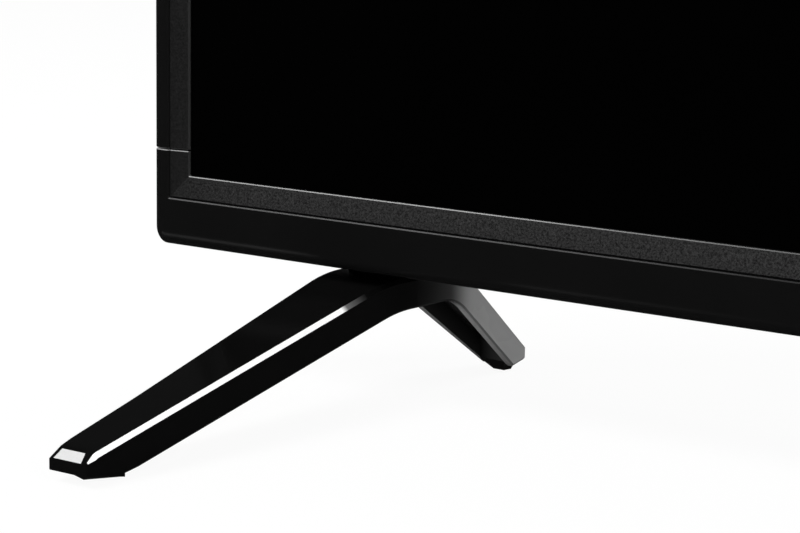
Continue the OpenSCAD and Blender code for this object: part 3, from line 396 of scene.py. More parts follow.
def finish(name, recipe):
    """A material whose shader takes the values and wires that the recipe gives for its sockets."""
    material = bpy.data.materials.new(name)
    material.use_nodes = True
    shader = material.node_tree.nodes["Principled BSDF"]
    start = Wire(material.node_tree)
    for key, value in recipe(start).items():
        start.plug(shader.inputs[key], value)
    return material


def grained(name, dark, pale, roughness, grain, depth, metallic=0.0, specular=0.5):
    """Plain finish: two close colours in lumps and clouds, a fine relief, and a roughness that follows the
    clouds."""

    def recipe(wire):
        lumps = wire.noise(grain, 3.0)
        clouds = wire.noise(grain * 40)
        return {
            "Base Color": wire.tint(0.6 * lumps + 0.4 * clouds, (*dark, 1.0), (*pale, 1.0)),
            "Roughness": roughness + 0.12 * (clouds - 0.5),
            "Metallic": metallic,
            "Specular IOR Level": specular,
            "Normal": wire.bump(lumps, depth),
        }

    return finish(name, recipe)


def bezel_plastic(wire):
    """Black moulding: smooth rim, and where the marks say so a finely grained band and edges whose glint is
    a paler colour."""
    band = wire.mark("band")
    # The edge mark is painted highlight: it mixes the face towards pale grey
    edge = wire.mark("edge")
    pebbles = wire.noise(0.6, 3.0, 0.65)
    haze = wire.noise(30.0, 2.0)
    rim = wire.tint(haze, grey(0.0028), grey(0.004))
    rough = wire.tint(wire.curve(pebbles, (0.35, 0.0), (0.65, 1.0)), grey(0.006), grey(0.03))
    face = wire.tint(band, rim, rough)
    return {
        "Base Color": wire.tint(edge, face, grey(0.34)),
        "Roughness": 0.16 + 0.04 * haze + 0.36 * band + 0.2 * edge,
        "Specular IOR Level": 0.06,
        "Normal": wire.bump(pebbles * band, 0.04),
    }


def screen_glass(wire):
    """Matt black face of the panel with a very fine anti-glare texture."""
    sparkle = wire.noise(0.12, 1.0)
    haze = wire.noise(60.0)
    return {
        "Base Color": wire.tint(haze, grey(0.0002), grey(0.0004)),
        "Roughness": 0.3 + 0.06 * sparkle,
        "Specular IOR Level": 0.006,
        "Normal": wire.bump(sparkle, 0.004),
    }


def foot_gloss(wire):
    """Piano-black moulding. Where the marks say so, white highlights and a grey sheen are part of its
    colour."""
    bright = wire.mark("bright")
    shine = wire.mark("shine")
    haze = wire.noise(18.0, 2.0)
    # The white is painted highlight with a faint speckle, and the grey that the shine mark mixes in is
    # painted reflection
    highlight_speckle = wire.noise(0.5, 1.0)
    black = wire.tint(haze, grey(0.002), grey(0.003))
    black_with_painted_sheen = wire.tint(shine, black, grey(0.34))
    white = wire.tint(highlight_speckle, grey(0.9), grey(0.97))
    return {
        "Base Color": wire.tint(bright, black_with_painted_sheen, white),
        "Roughness": 0.1 + 0.05 * haze + 0.3 * bright + 0.15 * shine,
        "Specular IOR Level": 0.08,
        "Normal": wire.bump(haze, 0.02, 0.1),
    }


def cover_grain(wire):
    """Dark moulded cover with a spark-eroded grain."""
    pits = wire.noise(0.7, 3.0, 0.6)
    haze = wire.noise(50.0)
    return {
        "Base Color": wire.tint(0.5 * pits + 0.5 * haze, grey(0.012), grey(0.02)),
        "Roughness": 0.5 + 0.1 * pits,
        "Specular IOR Level": 0.3,
        "Normal": wire.bump(pits, 0.12),
    }


def receiver_lens(wire):
    """Dark red plastic that hides the receiver's eye."""
    haze = wire.noise(3.0)
    return {
        "Base Color": wire.tint(haze, (0.004, 0.0015, 0.0015, 1.0), (0.007, 0.002, 0.002, 1.0)),
        "Roughness": 0.08 + 0.04 * haze,
        "Specular IOR Level": 0.1,
        "Normal": wire.bump(haze, 0.01, 0.2),
    }


def pale_paint(wire):
    """Pale floor paint with wide faint clouds."""
    return {"Base Color": wire.tint(wire.noise(400.0), grey(0.86), grey(0.9)), "Roughness": 0.7}


BEZEL = finish("bezel_gloss", bezel_plastic)
SCREEN = finish("screen", screen_glass)
FOOT = finish("foot_gloss", foot_gloss)
COVER = finish("cover_plastic", cover_grain)
LENS = finish("receiver_lens", receiver_lens)

# Plain finishes: dark and pale colour, roughness, width of the grain and depth of its relief
STEEL = grained("sheet_steel", (0.46, 0.47, 0.48), (0.6, 0.61, 0.62), 0.38, 1.2, 0.01, metallic=1.0)
NICKEL = grained("socket_metal", (0.55, 0.53, 0.5), (0.68, 0.66, 0.62), 0.26, 0.6, 0.004, metallic=1.0)
BRASS = grained("contact_brass", (0.62, 0.47, 0.2), (0.78, 0.6, 0.3), 0.24, 0.4, 0.003, metallic=1.0)
BLACK_STEEL = grained("screw_steel", (0.03, 0.03, 0.032), (0.06, 0.06, 0.062), 0.36, 0.3, 0.01,
                      metallic=0.7)
ALUMINIUM = grained("heatsink_metal", (0.5, 0.51, 0.53), (0.64, 0.65, 0.67), 0.35, 0.8, 0.01,
                    metallic=1.0)
BLACK_PLASTIC = grained("socket_plastic", (0.008, 0.008, 0.009), (0.018, 0.018, 0.019), 0.42, 0.35, 0.03)
BUTTON = grained("button_plastic", (0.006, 0.006, 0.006), (0.012, 0.012, 0.012), 0.28, 0.5, 0.01)
RUBBER = grained("pad_rubber", (0.004, 0.004, 0.004), (0.009, 0.009, 0.009), 0.75, 0.4, 0.06,
                 specular=0.2)
FILM = grained("optical_film", (0.78, 0.8, 0.81), (0.88, 0.9, 0.9), 0.4, 2.0, 0.01)
LED_BOARD = grained("led_bar", (0.76, 0.74, 0.68), (0.86, 0.84, 0.78), 0.45, 1.5, 0.01)
CLEAR = grained("lens", (0.7, 0.76, 0.8), (0.84, 0.88, 0.9), 0.12, 3.0, 0.005)
GREEN_BOARD = grained("circuit_board", (0.01, 0.1, 0.03), (0.02, 0.15, 0.05), 0.4, 1.2, 0.03)
TAN_BOARD = grained("power_circuit_board", (0.5, 0.33, 0.12), (0.62, 0.44, 0.18), 0.5, 1.2, 0.03)
CHIP = grained("chip", (0.008, 0.008, 0.008), (0.02, 0.02, 0.02), 0.5, 0.3, 0.02)
SLEEVE = grained("capacitor_sleeve", (0.02, 0.03, 0.08), (0.04, 0.06, 0.12), 0.35, 1.0, 0.01)
WINDING = grained("winding_tape", (0.35, 0.24, 0.04), (0.5, 0.36, 0.08), 0.4, 0.8, 0.02)
INNER = grained("inner_plastic", (0.015, 0.015, 0.015), (0.03, 0.03, 0.03), 0.5, 0.6, 0.03)
PAPER = grained("cone_paper", (0.02, 0.02, 0.02), (0.05, 0.05, 0.05), 0.8, 0.5, 0.08)

FINISHES = {
    SCREEN: ["lcd_panel"],
    COVER: ["rear_cover"],
    LENS: ["receiver_window", "receiver_eye"],
    STEEL: ["backlight_tray", "foot_bracket_left", "foot_bracket_right", "wall_mount_posts",
            "board_screws"],
    NICKEL: ["hdmi_sockets", "usb_socket", "lan_socket", "aerial_socket"],
    BRASS: ["inlet_pins"],
    ALUMINIUM: ["heatsink"],
    BLACK_PLASTIC: ["headphone_jack", "power_inlet", "key_switch", "speaker_wires"],
    BUTTON: ["power_button"],
    FILM: ["prism_film", "diffuser_film", "diffuser_plate", "reflector_sheet", "panel_ribbon"],
    LED_BOARD: ["led_bars"],
    CLEAR: ["led_lenses", "diffuser_posts", "switch_plunger"],
    GREEN_BOARD: ["source_board", "main_board", "key_board"],
    TAN_BOARD: ["power_board"],
    CHIP: ["board_chips"],
    SLEEVE: ["power_parts"],
    WINDING: ["transformer"],
    INNER: ["panel_guide", "speaker_left", "speaker_right"],
    PAPER: ["speaker_cones"],
}
for material, names in FINISHES.items():
    for name in names:
        nodes[name].data.materials.clear()
        nodes[name].data.materials.append(material)


def woven(name, grids, material, marks=None, tube=True, caps=True):
    """Object over one grid of points or several of one size, in millimetres: neighbours form quads, a
    tube closes across its columns, and its two open ends are closed by one flat face each."""
    grids = grids if grids.ndim == 4 else grids[None]
    shape = grids.shape[:3]
    index = np.arange(np.prod(shape)).reshape(shape)
    ends = np.concatenate([index[:, 0], index[:, -1, ::-1]]).tolist() if caps else []
    if tube:
        index = np.concatenate([index, index[:, :, :1]], 2)
    quads = np.stack([index[:, :-1, :-1], index[:, 1:, :-1], index[:, 1:, 1:], index[:, :-1, 1:]], -1)
    mesh = bpy.data.meshes.new(name)
    mesh.from_pydata((grids.reshape(-1, 3) * MM).tolist(), [], quads.reshape(-1, 4).tolist() + ends)
    for key, values in (marks or {}).items():
        layer = mesh.attributes.new(key, "FLOAT", "POINT")
        layer.data.foreach_set("value", np.broadcast_to(values, shape).astype(np.float32).ravel())
    outward(mesh)
    mesh.polygons.foreach_set("use_smooth", np.ones(len(mesh.polygons), bool))
    mesh.set_sharp_from_angle(angle=math.radians(SHARP))
    mesh.materials.append(material)
    piece = bpy.data.objects.new(name, mesh)
    bpy.context.scene.collection.objects.link(piece)
    return piece


def outward(mesh):
    """Joins points that coincide and turns all faces of a closed mesh outwards."""
    work = bmesh.new()
    work.from_mesh(mesh)
    bmesh.ops.remove_doubles(work, verts=work.verts, dist=JOIN_DISTANCE)
    bmesh.ops.recalc_face_normals(work, faces=work.faces)
    work.to_mesh(mesh)
    work.free()


def cut_out(piece, cutter):
    """Takes the cutter's form out of the piece and deletes the cutter."""
    change = piece.modifiers.new("opening", "BOOLEAN")
    change.operation = "DIFFERENCE"
    change.solver = "EXACT"
    change.object = cutter
    result = bpy.data.meshes.new_from_object(piece.evaluated_get(bpy.context.evaluated_depsgraph_get()))
    result.set_sharp_from_angle(angle=math.radians(SHARP))
    piece.modifiers.clear()
    piece.data = result
    bpy.data.objects.remove(cutter)


def profile_row(inset, depth, sill=0, radius=INNER_R, band=0, sill_painted_glint=0, side_painted_light=0, gleam=0):
    """One point of the bezel's cross section: inset at the sides and extra inset along the sill, depth,
    corner radius, and its marks: the band's grain and the painted highlights on the sill, the sides and
    the rounding."""
    return inset, sill, depth, radius, band, sill_painted_glint, side_painted_light, gleam


def bezel_profile():
    """Cross section of the bezel from its outer wall over the face to the window and back: a quarter
    circle, the flat rim, the groove, the sloping band and the lip. The gleam, a painted highlight, is a
    bell curve over the inset. The result has one column per point."""
    turn = np.linspace(0, math.pi / 2, ARC_ROWS)
    arc = np.column_stack([FRONT_ROUND * (1 - np.cos(turn)), FRONT_ROUND * (1 - np.sin(turn))])
    flat = [(FRONT_ROUND + step, 0) for step in FLAT_STEPS]
    sill = SILL_H - RIM_W
    lip_sill = sill + SILL_BAND_W - BAND_W
    groove_y = BAND_STEP + GROOVE_STEP
    band_in = RIM_W + GROOVE_W
    lip_y = BAND_STEP + BAND_FALL
    bright_in, bright_y = LIP_IN + BRIGHT_LIP * LIP_W, lip_y + BRIGHT_LIP * LIP_DROP
    window_in, window_y = LIP_IN + LIP_W, lip_y + LIP_DROP
    rows = [profile_row(0, BEZEL_D, radius=CORNER_R)]
    for inset, depth in [*arc, *flat]:
        gleam = math.exp(-((inset - GLEAM_IN) / GLEAM_W) ** 2)
        rows.append(profile_row(inset, depth, radius=CORNER_R - inset, gleam=gleam))
    rows += [
        profile_row(RIM_W - RIM_CHAMFER - CRISP, 0, sill),
        profile_row(RIM_W - RIM_CHAMFER, 0, sill, sill_painted_glint=SILL_GLINT, side_painted_light=SIDE_RIM),
        profile_row(RIM_W, BAND_STEP, sill, sill_painted_glint=SILL_GLINT, side_painted_light=SIDE_RIM),
        profile_row(RIM_W, BAND_STEP + CRISP, sill, side_painted_light=SIDE_RIM),
        profile_row(RIM_W, groove_y, sill, side_painted_light=SIDE_GROOVE),
        profile_row(band_in, groove_y, sill, side_painted_light=SIDE_GROOVE),
        profile_row(band_in, BAND_STEP + CRISP, sill, side_painted_light=SIDE_GROOVE),
        profile_row(band_in + CRISP, BAND_STEP, sill, band=BAND_START),
        profile_row(LIP_IN - CRISP, lip_y, lip_sill, band=1.0),
        profile_row(LIP_IN, lip_y, lip_sill, sill_painted_glint=LIP_GLINT, side_painted_light=SIDE_LIP),
        profile_row(bright_in, bright_y, lip_sill, sill_painted_glint=LIP_GLINT, side_painted_light=SIDE_LIP),
        profile_row(bright_in, bright_y + CRISP, lip_sill, side_painted_light=SIDE_LIP),
        profile_row(window_in, window_y, lip_sill, side_painted_light=SIDE_LIP),
        profile_row(window_in, window_y + CRISP, lip_sill),
        profile_row(window_in, PANEL_Y, lip_sill),
        profile_row(BEZEL_WALL, PANEL_Y, radius=CORNER_R - BEZEL_WALL),
        profile_row(BEZEL_WALL, BEZEL_D, radius=CORNER_R - BEZEL_WALL),
    ]
    return np.array(rows, float).T


def bezel(name, upper):
    """One of the two bezels: the cross section carried round a rounded rectangle, from seam to seam.
    Points of a corner lie at centre + radius * (cos, sin), and the seam ends are chamfered."""
    inset, sill, depth, radius, band, sill_painted_glint, side_painted_light, rounding = bezel_profile()
    way = -1 if upper else 1
    end = TOP_Z - inset if upper else UNDER_Z + inset + sill
    seam = SEAM_HIGH if upper else SEAM_LOW
    right = BODY_W / 2 - inset
    turn = np.linspace(0, math.pi / 2, CORNER_ROWS)[:, None]
    run = np.linspace(1, -1, SILL_ROWS + 2)[1:-1, None]

    # From the seam down or up one side and round its corner
    front = np.arange(len(inset)) < len(inset) - INNER_WALL_ROWS
    facing = np.clip(inset / FRONT_ROUND, 0, 1)
    sunk = SEAM_CHAMFER * front
    steps = np.array([0, SEAM_CHAMFER, SEAM_CHAMFER + CRISP])[:, None]
    fillet = (inset > 0) & (inset < FRONT_ROUND) & (not upper)
    sill_depth = np.where(fillet, SILL_SHARE * depth, depth)
    share = np.sin(turn) ** 2
    corner_x = right - radius + radius * np.cos(turn)
    corner_y = depth * (1 - share) + sill_depth * share
    corner_z = end + way * radius * (1 - np.sin(turn))
    half_x = np.vstack([right - sunk * (1 - facing), right, right, corner_x])
    half_y = np.vstack([depth + sunk * facing, depth, depth, corner_y])
    half_z = np.vstack([seam - way * steps + 0 * inset, corner_z])

    # Both sides and the straight run between them
    run_x = (right - radius) * run
    x = np.vstack([half_x, run_x, -half_x[::-1]])
    y = FRONT_Y + np.vstack([half_y, sill_depth + 0 * run_x, half_y[::-1]])
    z = np.vstack([half_z, end + 0 * run_x, half_z[::-1]])

    # Marks: the band's grain, with painted shade at the sides, and the edge mark, which holds the painted
    # highlights of the fine edges, the seams and the rounding
    along = np.abs(np.arange(len(x)) - (len(x) - 1) / 2)
    level = (along < len(run) / 2 + CORNER_ROWS // 2)[:, None] & (not upper)
    at_seam = (along > len(x) / 2 - SEAM_ROWS)[:, None] & front & (inset < LIP_IN)
    from_middle = np.abs(x)
    lip_fade, sill_fade = np.interp(from_middle, *LIP_FADE), np.interp(from_middle, *SILL_FADE)
    gleam = ROUND_GLEAM * rounding * np.interp(from_middle, *ROUND_FADE)
    edge = np.where(level, sill_painted_glint * np.where(inset > RIM_W, lip_fade, sill_fade) + gleam, side_painted_light)
    edge = np.where(at_seam, UPPER_SEAM_GLINT if upper else SEAM_GLINT, edge)
    band = band * np.where(level, np.interp(from_middle, *BAND_FADE), SIDE_BAND)
    return woven(name, np.stack([x, y, z], -1), BEZEL, {"band": band, "edge": edge})


def lens_cutter():
    """Pill through the bezel's face for the receiver's lens: a rounded outline carried along Y."""
    centre = middle("receiver_window")
    size = high("receiver_window") - low("receiver_window") - 2 * WINDOW_FLANGE + FIT_GAP
    width, height = size[0], size[2]
    turn = np.linspace(0, 2 * math.pi, PLUG_SIDES, endpoint=False)
    x = centre[0] + np.sign(np.cos(turn)) * (width - height) / 2 + height / 2 * np.cos(turn)
    z = centre[2] + height / 2 * np.sin(turn)
    ends = FRONT_Y - CUT_SPARE, FRONT_Y + PANEL_Y + CUT_SPARE
    rings = [np.stack([x, np.full_like(x, y), z], -1) for y in ends]
    return woven("lens_cutter", np.stack(rings), BEZEL)


def button_cutter():
    """Cylinder through the bezel's underside for the power button: a circle carried straight up."""
    centre = middle("power_button")
    radius = BUTTON_R + FIT_GAP
    turn = np.linspace(0, 2 * math.pi, PLUG_SIDES, endpoint=False)
    x = centre[0] + radius * np.cos(turn)
    y = centre[1] + radius * np.sin(turn)
    ends = UNDER_Z - CUT_SPARE, UNDER_Z + BEZEL_WALL + CUT_SPARE
    rings = [np.stack([x, y, np.full_like(x, z)], -1) for z in ends]
    return woven("button_cutter", np.stack(rings), BEZEL)


def softened(points, radii, steps=12):
    """Line through corner points, with an arc of the given radius at each inner corner."""
    points = np.asarray(points, float)
    line = [points[:1]]
    for before, corner, after, radius in zip(points, points[1:], points[2:], radii):
        if radius == 0:
            line.append(corner[None])
            continue
        back = (before - corner) / np.linalg.norm(before - corner)
        on = (after - corner) / np.linalg.norm(after - corner)
        half = math.acos(back @ on) / 2
        centre = corner + (back + on) / np.linalg.norm(back + on) * radius / math.sin(half)
        first = corner + back * radius / math.tan(half) - centre
        last = corner + on * radius / math.tan(half) - centre
        share = np.linspace(0, 1, steps)[:, None]
        spoke = first * (1 - share) + last * share
        line.append(centre + radius * spoke / np.linalg.norm(spoke, axis=1, keepdims=True))
    return np.vstack(line + [points[-1:]])


def smooth(y, span):
    """Soft rise from 0 to 1 over a span."""
    share = np.clip((y - span[0]) / (span[1] - span[0]), 0, 1)
    return share * share * (3 - 2 * share)


def foot_lines():
    """Side view of a foot: its upper and its lower line, each as points of depth and height, and the
    depth at which the nose's bevel ends."""
    nose = np.array([-FOOT_FRONT, NOSE_Z])
    bevel = nose + [NOSE_BEVEL[0], NOSE_H + NOSE_BEVEL[1]]
    top_z = UNDER_Z - SEAT_H
    arch_z = UNDER_Z - FOOT_T
    upper = [
        nose + [0, NOSE_H], bevel, (TOP_SPAN[0], top_z), (TOP_SPAN[1], top_z),
        (FOOT_BACK, NOSE_Z + NOSE_H),
    ]
    lower = [
        nose, SOLE, (SOLE[0] + CRISP, SOLE_STEP), (SOLE[0] + SOLE_RAMP[0], SOLE_RAMP[1]),
        (ARCH_SPAN[0], arch_z), (ARCH_SPAN[1], arch_z), (HEEL_PAD_Y, PAD_T + HEEL_RISE),
        (FOOT_BACK, HEEL_Z),
    ]
    upper = softened(upper, (0, TOP_ROUND, 0))
    lower = softened(lower, (0, 0, 0, ARCH_ROUND, HEEL_ROUND, 0))
    return upper, lower, bevel[0]


def foot_sides(y):
    """Plan view of a foot: its outer and its inner side at those depths."""
    mid = np.interp(y, FOOT_SPINE, (-FRONT_SWEEP, 0, BACK_SWEEP))
    half = np.interp(y, FOOT_SPINE, (TIP_W / 2, FOOT_W / 2, HEEL_W / 2))
    outer = mid - half - np.interp(y + FOOT_FRONT, *OUTER_BULGE)
    return outer, mid + half + np.interp(y, FOOT_SPINE, INNER_BULGE)


def at_foot(grid, side):
    """Points of a foot's own frame, mirrored and moved to the foot on that side."""
    return grid * [-side, 1, 1] + [side * (FOOT_X - FOOT_INSET), FRONT_Y, 0]


def foot(name, side):
    """One foot: a closed cross section (chamfered top, hollow underside with rims) carried along the
    depth, its height between two softened side-view lines and its width and sweep between three stations.
    The cross section starts at the lower outer edge and goes over the top to the inner side, then back
    through the hollow. A point has its place, the brightness of its painted highlight and its share of the
    painted reflection."""
    upper, lower, bevel_y = foot_lines()
    hollow = (TOE_PAD[1] + FOOT_WALL, HEEL_PAD_Y - FOOT_WALL)
    facet = (-FOOT_FRONT + TIP_FRONT, bevel_y - TIP_BACK)
    y = np.unique(np.round(np.concatenate([
        upper[:, 0], lower[:, 0], np.linspace(-FOOT_FRONT, FOOT_BACK, FOOT_ROWS),
        [-FOOT_FRONT + CRISP, STRIP_START, STRIP_START + CRISP, STRIP_FULL],
        [hollow[0] - CRISP, hollow[0], hollow[1], hollow[1] + CRISP],
        [facet[0], facet[0] + CRISP, facet[1] - CRISP, facet[1]],
    ]), 3))

    # Places in the cross section
    outer, inner = foot_sides(y)
    top = np.interp(y, *upper.T)
    under = np.interp(y, *lower.T)
    cut = np.interp(y, (-FOOT_FRONT, STRIP_FULL, FOOT_MOUNT_Y, FOOT_BACK),
                    (NOSE_CHAMFER, FOOT_CHAMFER, FOOT_CHAMFER, NOSE_CHAMFER))
    chamfer = inner - cut
    rise = np.where(y > SOLE[0] + CRISP / 2, RIM_RISE, NOSE_CHAMFER)
    rim = inner - np.interp(y, *RIM_CUT)
    rim_z = under + np.interp(y, *RIM_LIFT)
    near_wall = inner - np.interp(y, *NEAR_WALL)
    far_wall = outer + np.interp(y, *FAR_WALL)
    roof = np.where((y >= hollow[0]) & (y <= hollow[1]), np.maximum(top - FOOT_ROOF, under), under)
    tip_outer = outer + TIP_OUTER + np.interp(y + FOOT_FRONT, *OUTER_BULGE)
    tip_inner = chamfer - np.interp(y, (-FOOT_FRONT, bevel_y), TIP_INNER)

    # Painted highlight and painted reflection along the depth
    strip = 1 - STRIP_FALL * smooth(y, STRIP_END) - (1 - STRIP_FALL) * smooth(y, STRIP_TAIL)
    strip = strip * (y > STRIP_START + CRISP / 2)
    tip = TIP_BRIGHT * ((y > facet[0] + CRISP / 2) & (y < facet[1] - CRISP / 2))
    dusk = np.clip((y - DUSK_RISE[0]) / (DUSK_RISE[1] - DUSK_RISE[0]), 0, 1) ** 2
    gloss = DUSK * dusk + (1 - DUSK) * smooth(y, GLOSS_RISE)

    ring = [
        (outer + FAR_RIM, under, 0, GLOSS["far_rim"]),
        (outer, under + FAR_RIM, 0, 0),
        (outer, top - FOOT_EDGE, 0, 0),
        (outer + FOOT_EDGE, top, 0, 0),
        (tip_outer, top, 0, 0),
        (tip_outer + CRISP, top, tip, 0),
        (tip_inner - CRISP, top, tip, 0),
        (tip_inner, top, 0, 0),
        (chamfer - CRISP, top, 0, 0),
        (chamfer, top, strip, 0),
        (inner, top - cut, strip, 0),
        (inner, top - cut - CRISP, 0, GLOSS["side_top"]),
        (inner, under + rise + CRISP, 0, GLOSS["side_low"]),
        (inner, under + rise, 0, GLOSS["rim_edge"]),
        (rim, rim_z, 0, GLOSS["rim_edge"]),
        (rim - CRISP, rim_z, 0, GLOSS["rim_start"]),
        (near_wall + CRISP, under, 0, GLOSS["rim_end"]),
        (near_wall, under, 0, GLOSS["near_wall_low"]),
        (near_wall, roof, 0, GLOSS["near_wall_top"]),
        (far_wall, roof, 0, GLOSS["far_wall_top"]),
        (far_wall, under, 0, GLOSS["far_wall_low"]),
        (far_wall - CRISP, under, 0, GLOSS["far_rim"]),
    ]
    x, z, bright, share = (
        np.stack([np.broadcast_to(value, y.shape) for value in column], 1) for column in zip(*ring)
    )
    grid = np.stack([x, np.broadcast_to(y[:, None], x.shape), z], -1)
    return woven(name, at_foot(grid, side), FOOT, {"bright": bright, "shine": share * gloss[:, None]})


def foot_blocks(name, material, *shapes):
    """Blocks on both feet: a four-cornered cross section between the foot's sides, carried along the
    depth. A shape gives its depths, its top and bottom, and how far its top and bottom stay in from the
    outer side and from the inner side."""
    grids = []
    for y, top, bottom, from_outer, from_inner in shapes:
        outer, inner = foot_sides(y)
        ring = [
            (outer + from_outer[0], top), (inner - from_inner[0], top),
            (inner - from_inner[1], bottom), (outer + from_outer[1], bottom),
        ]
        corners = [np.stack(np.broadcast_arrays(x, y, z), -1) for x, z in ring]
        grids += [at_foot(np.stack(corners, 1), side) for side in (-1, 1)]
    return woven(name, np.stack(grids), material)


def pads(name):
    """Rubber pads of both feet, whose tops lie in the foot's underside and whose lower faces slope down
    to the table."""
    under = foot_lines()[1].T
    toe = TOE_PAD[0] + np.array(TOE_ROWS)
    heel = HEEL_PAD_Y + np.array(HEEL_ROWS)
    toe_top, heel_top = (np.interp(y, *under) + PAD_SUNK for y in (toe, heel))
    return foot_blocks(name, RUBBER,
                       (toe, toe_top, PAD_T * np.array(TOE_FACE), *TOE_SIDES),
                       (heel, heel_top, PAD_T * np.array(HEEL_FACE), *HEEL_SIDES))


def seats(name):
    """Blocks between the feet and the set's underside, as long as the brackets above them."""
    length = (high("foot_bracket_left") - low("foot_bracket_left"))[1]
    y = FOOT_MOUNT_Y + length * np.linspace(-0.5, 0.5, SEAT_ROWS)
    return foot_blocks(name, FOOT, (y, UNDER_Z, UNDER_Z - SEAT_H - SEAT_SUNK, *SEAT_SIDES))


def screws(name, material, places, up, sizes):
    """Screws at places, standing along a unit vector: a profile (shank, flat seat, domed head) turned
    round its axis, whose face sinks along the two arms of a cross."""
    shank_l, shank_r, head_r, head_h = sizes
    shank = [(SCREW_POINT, -shank_l), (shank_r, -shank_l), (shank_r, 0), (head_r, 0)]
    dome = np.linspace(1, 0, DOME_ROWS)
    head = np.column_stack([head_r * dome, head_h * (1 - DOME_SHARE * dome ** 2)])
    radius, rise = np.vstack([shank, head]).T
    turn = np.linspace(0, 2 * math.pi, SCREW_SIDES, endpoint=False)
    u, v = radius[:, None] * np.cos(turn), radius[:, None] * np.sin(turn)
    across, along = np.minimum(abs(u), abs(v)) / head_r, np.maximum(abs(u), abs(v)) / head_r
    sunk = np.clip((RECESS_HALF - across) / RECESS_SLOPE, 0, 1)
    sunk = sunk * np.clip((RECESS_ARM - along) / RECESS_SLOPE, 0, 1)
    sunk[:len(shank)] = 0
    height = rise[:, None] - RECESS_DEPTH * sunk
    up = np.array(up, float)
    side = np.roll(up, 1)
    grid = u[..., None] * side + v[..., None] * np.cross(up, side) + height[..., None] * up
    return woven(name, grid[None] + np.asarray(places)[:, None, None], material)


def cover_screw_places():
    """Seats of the rear cover's screws: three along the top and two below."""
    head_r, head_h = COVER_SCREW[2:]
    corner_low, corner_high = low("cover_screws") + head_r, high("cover_screws") - head_r
    x, y = corner_high[0], high("cover_screws")[1] - head_h
    return [(-x, y, corner_high[2]), (0, y, corner_high[2]), (x, y, corner_high[2]),
            (-x, y, corner_low[2]), (x, y, corner_low[2])]


def foot_screw_places():
    """Seats of the screws under the feet: two on each, one behind the other."""
    y = FRONT_Y + FOOT_MOUNT_Y
    z = low("foot_screws")[2] + FOOT_SCREW[3]
    return [(side * FOOT_X, y + along * FOOT_SCREW_PITCH / 2, z) for side in (-1, 1) for along in (-1, 1)]


def bars(name, material, lows, highs):
    """Straight bars between two corners each: four edges carried along X."""
    edges = (0, 0), (1, 0), (1, 1), (0, 1)
    at_high = np.array([[(end, *edge) for edge in edges] for end in (0, 1)], bool)
    grid = np.where(at_high, highs[:, None, None], lows[:, None, None])
    return woven(name, grid, material)


def contacts(name):
    """Gilt contacts: rows of bars on the tongues of the video and data sockets and in the network
    socket."""
    video, data, network = (middle(node) for node in ("hdmi_sockets", "usb_socket", "lan_socket"))
    mouth = high("hdmi_sockets")[0]
    apart = (high("hdmi_sockets") - low("hdmi_sockets"))[2] / 2 - VIDEO_SOCKET / 2
    rows = [
        (video[1] + VIDEO_TONGUE, video[2] - apart, *VIDEO_ROW),
        (video[1] + VIDEO_TONGUE, video[2] + apart, *VIDEO_ROW),
        (data[1] + DATA_TONGUE, data[2], *DATA_ROW),
        (low("lan_socket")[1] + NETWORK_TONGUE, network[2], *NETWORK_ROW),
    ]
    x = mouth - CONTACT_REACH[0], mouth - CONTACT_REACH[1]
    lows, highs = [], []
    for y, z, count, pitch, width in rows:
        at = z + pitch * (np.arange(count) - (count - 1) / 2)
        lows.append(np.stack(np.broadcast_arrays(x[0], y - CONTACT_T[0], at - width / 2), 1))
        highs.append(np.stack(np.broadcast_arrays(x[1], y + CONTACT_T[1], at + width / 2), 1))
    return bars(name, BRASS, np.vstack(lows), np.vstack(highs))


def on_set(piece, slot, *stood_for):
    """Fastens a piece to the set and hides the nodes that it stands for; the name of its finish is not
    used.
    """
    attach(piece, "set")
    if stood_for:
        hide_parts(*stood_for)


def floor():
    """Pale floor: a wide square grid under the set. Mirrors see it dim, the camera nearly white."""
    line = np.linspace(-FLOOR_HALF, FLOOR_HALF, FLOOR_LINES)
    x, y = np.meshgrid(line, line, indexing="ij")
    material = finish("pale_floor", pale_paint)
    tree = material.node_tree
    wire = Wire(tree)
    seen, glossy = wire.ray_kinds()
    glow = wire.make("Emission", None, {"Color": grey(1.0), "Strength": seen + FLOOR_DIM * glossy})
    paint = Wire(tree, tree.nodes["Principled BSDF"].outputs[0])
    share = FLOOR_SEEN * seen + FLOOR_MIRRORED * glossy
    mixed = wire.make("MixShader", None, {0: share, 1: paint, 2: glow})
    wire.plug(tree.nodes["Material Output"].inputs["Surface"], mixed)
    woven("floor", np.stack([x, y, np.zeros_like(x)], -1), material, tube=False, caps=False)


def world():
    """Surroundings: white for the camera, dimmer for diffuse light, and in mirrors darker with height."""
    surroundings = bpy.data.worlds.new("studio")
    bpy.context.scene.world = surroundings
    surroundings.use_nodes = True
    tree = surroundings.node_tree
    wire = Wire(tree)
    seen, glossy = wire.ray_kinds()
    height = wire.make("SeparateXYZ", None, {0: wire.make("TexCoord", out="Generated")}, out="Z")
    ceiling = wire.curve(height, *SKY_STOPS)
    background = tree.nodes["Background"]
    background.inputs["Color"].default_value = grey(1.0)
    wire.plug(background.inputs["Strength"], seen + glossy * ceiling + (1 - seen - glossy) * SKY_DIFFUSE)


def softbox(name, at, target, size, power):
    """Square area lamp that looks at a point; the camera doesn't see it."""
    lamp = bpy.data.lights.new(name, "AREA")
    lamp.shape = "SQUARE"
    lamp.size = size * MM
    lamp.energy = power
    holder = bpy.data.objects.new(name, lamp)
    bpy.context.scene.collection.objects.link(holder)
    holder.location = np.array(at) * MM
    holder.rotation_euler = Vector(np.array(target) - np.array(at)).to_track_quat("-Z", "Y").to_euler()
    holder.visible_camera = False


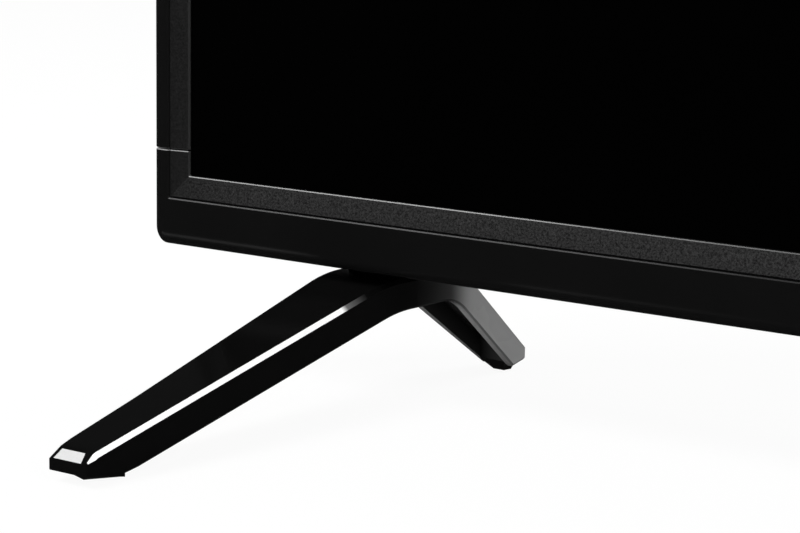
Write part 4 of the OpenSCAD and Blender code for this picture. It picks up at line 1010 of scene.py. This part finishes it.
def camera():
    """The photograph's camera from its place, turn, dip and roll."""
    turn, dip, roll = CAMERA_TURN, CAMERA_DIP, CAMERA_ROLL
    ahead = np.array([-math.sin(turn) * math.cos(dip), math.cos(turn) * math.cos(dip), -math.sin(dip)])
    level = np.array([math.cos(turn), math.sin(turn), 0.0])
    rise = np.array([-math.sin(turn) * math.sin(dip), math.cos(turn) * math.sin(dip), math.cos(dip)])
    right = math.cos(roll) * level + math.sin(roll) * rise
    up = -math.sin(roll) * level + math.cos(roll) * rise
    lens = bpy.data.cameras.new("camera")
    lens.sensor_fit = "HORIZONTAL"
    lens.sensor_width = CAMERA_FRAME
    lens.lens = CAMERA_LENS
    lens.clip_start, lens.clip_end = CAMERA_CLIP
    holder = bpy.data.objects.new("camera", lens)
    bpy.context.scene.collection.objects.link(holder)
    pose = np.eye(4)
    pose[:3, :3] = np.stack([right, up, -ahead], 1)
    pose[:3, 3] = np.array(CAMERA_AT) * MM
    holder.matrix_world = Matrix(pose.tolist())
    bpy.context.scene.camera = holder


# The pieces
lower_bezel = bezel("sill_bezel", upper=False)
upper_bezel = bezel("top_bezel", upper=True)
cut_out(lower_bezel, lens_cutter())
cut_out(lower_bezel, button_cutter())
on_set(lower_bezel, "bezel_gloss", "lower_bezel")
on_set(upper_bezel, "bezel_gloss", "upper_bezel")
on_set(foot("left_foot", -1), "foot_gloss", "foot_left")
on_set(foot("right_foot", 1), "foot_gloss", "foot_right")
on_set(pads("heel_and_toe_pads"), "pad_rubber", "foot_pads")
on_set(contacts("socket_contacts"), "contact_brass")
on_set(seats("foot_seats"), "foot_gloss")
cover_screws = screws("cover_screw_heads", BLACK_STEEL, cover_screw_places(), (0, 1, 0), COVER_SCREW)
on_set(cover_screws, "screw_steel", "cover_screws")
foot_screws = screws("foot_screw_heads", STEEL, foot_screw_places(), (0, 0, -1), FOOT_SCREW)
on_set(foot_screws, "sheet_steel", "foot_screws")

# The studio
floor()
world()
camera()
softbox("key", at=(-900, -900, 1500), target=(-100, 0, 200), size=900, power=32)
softbox("fill", at=(1100, -700, 900), target=(0, 0, 200), size=900, power=10)
softbox("back", at=(300, 1300, 1200), target=(0, 60, 200), size=1000, power=18)
bpy.context.scene.view_settings.view_transform = "Standard"
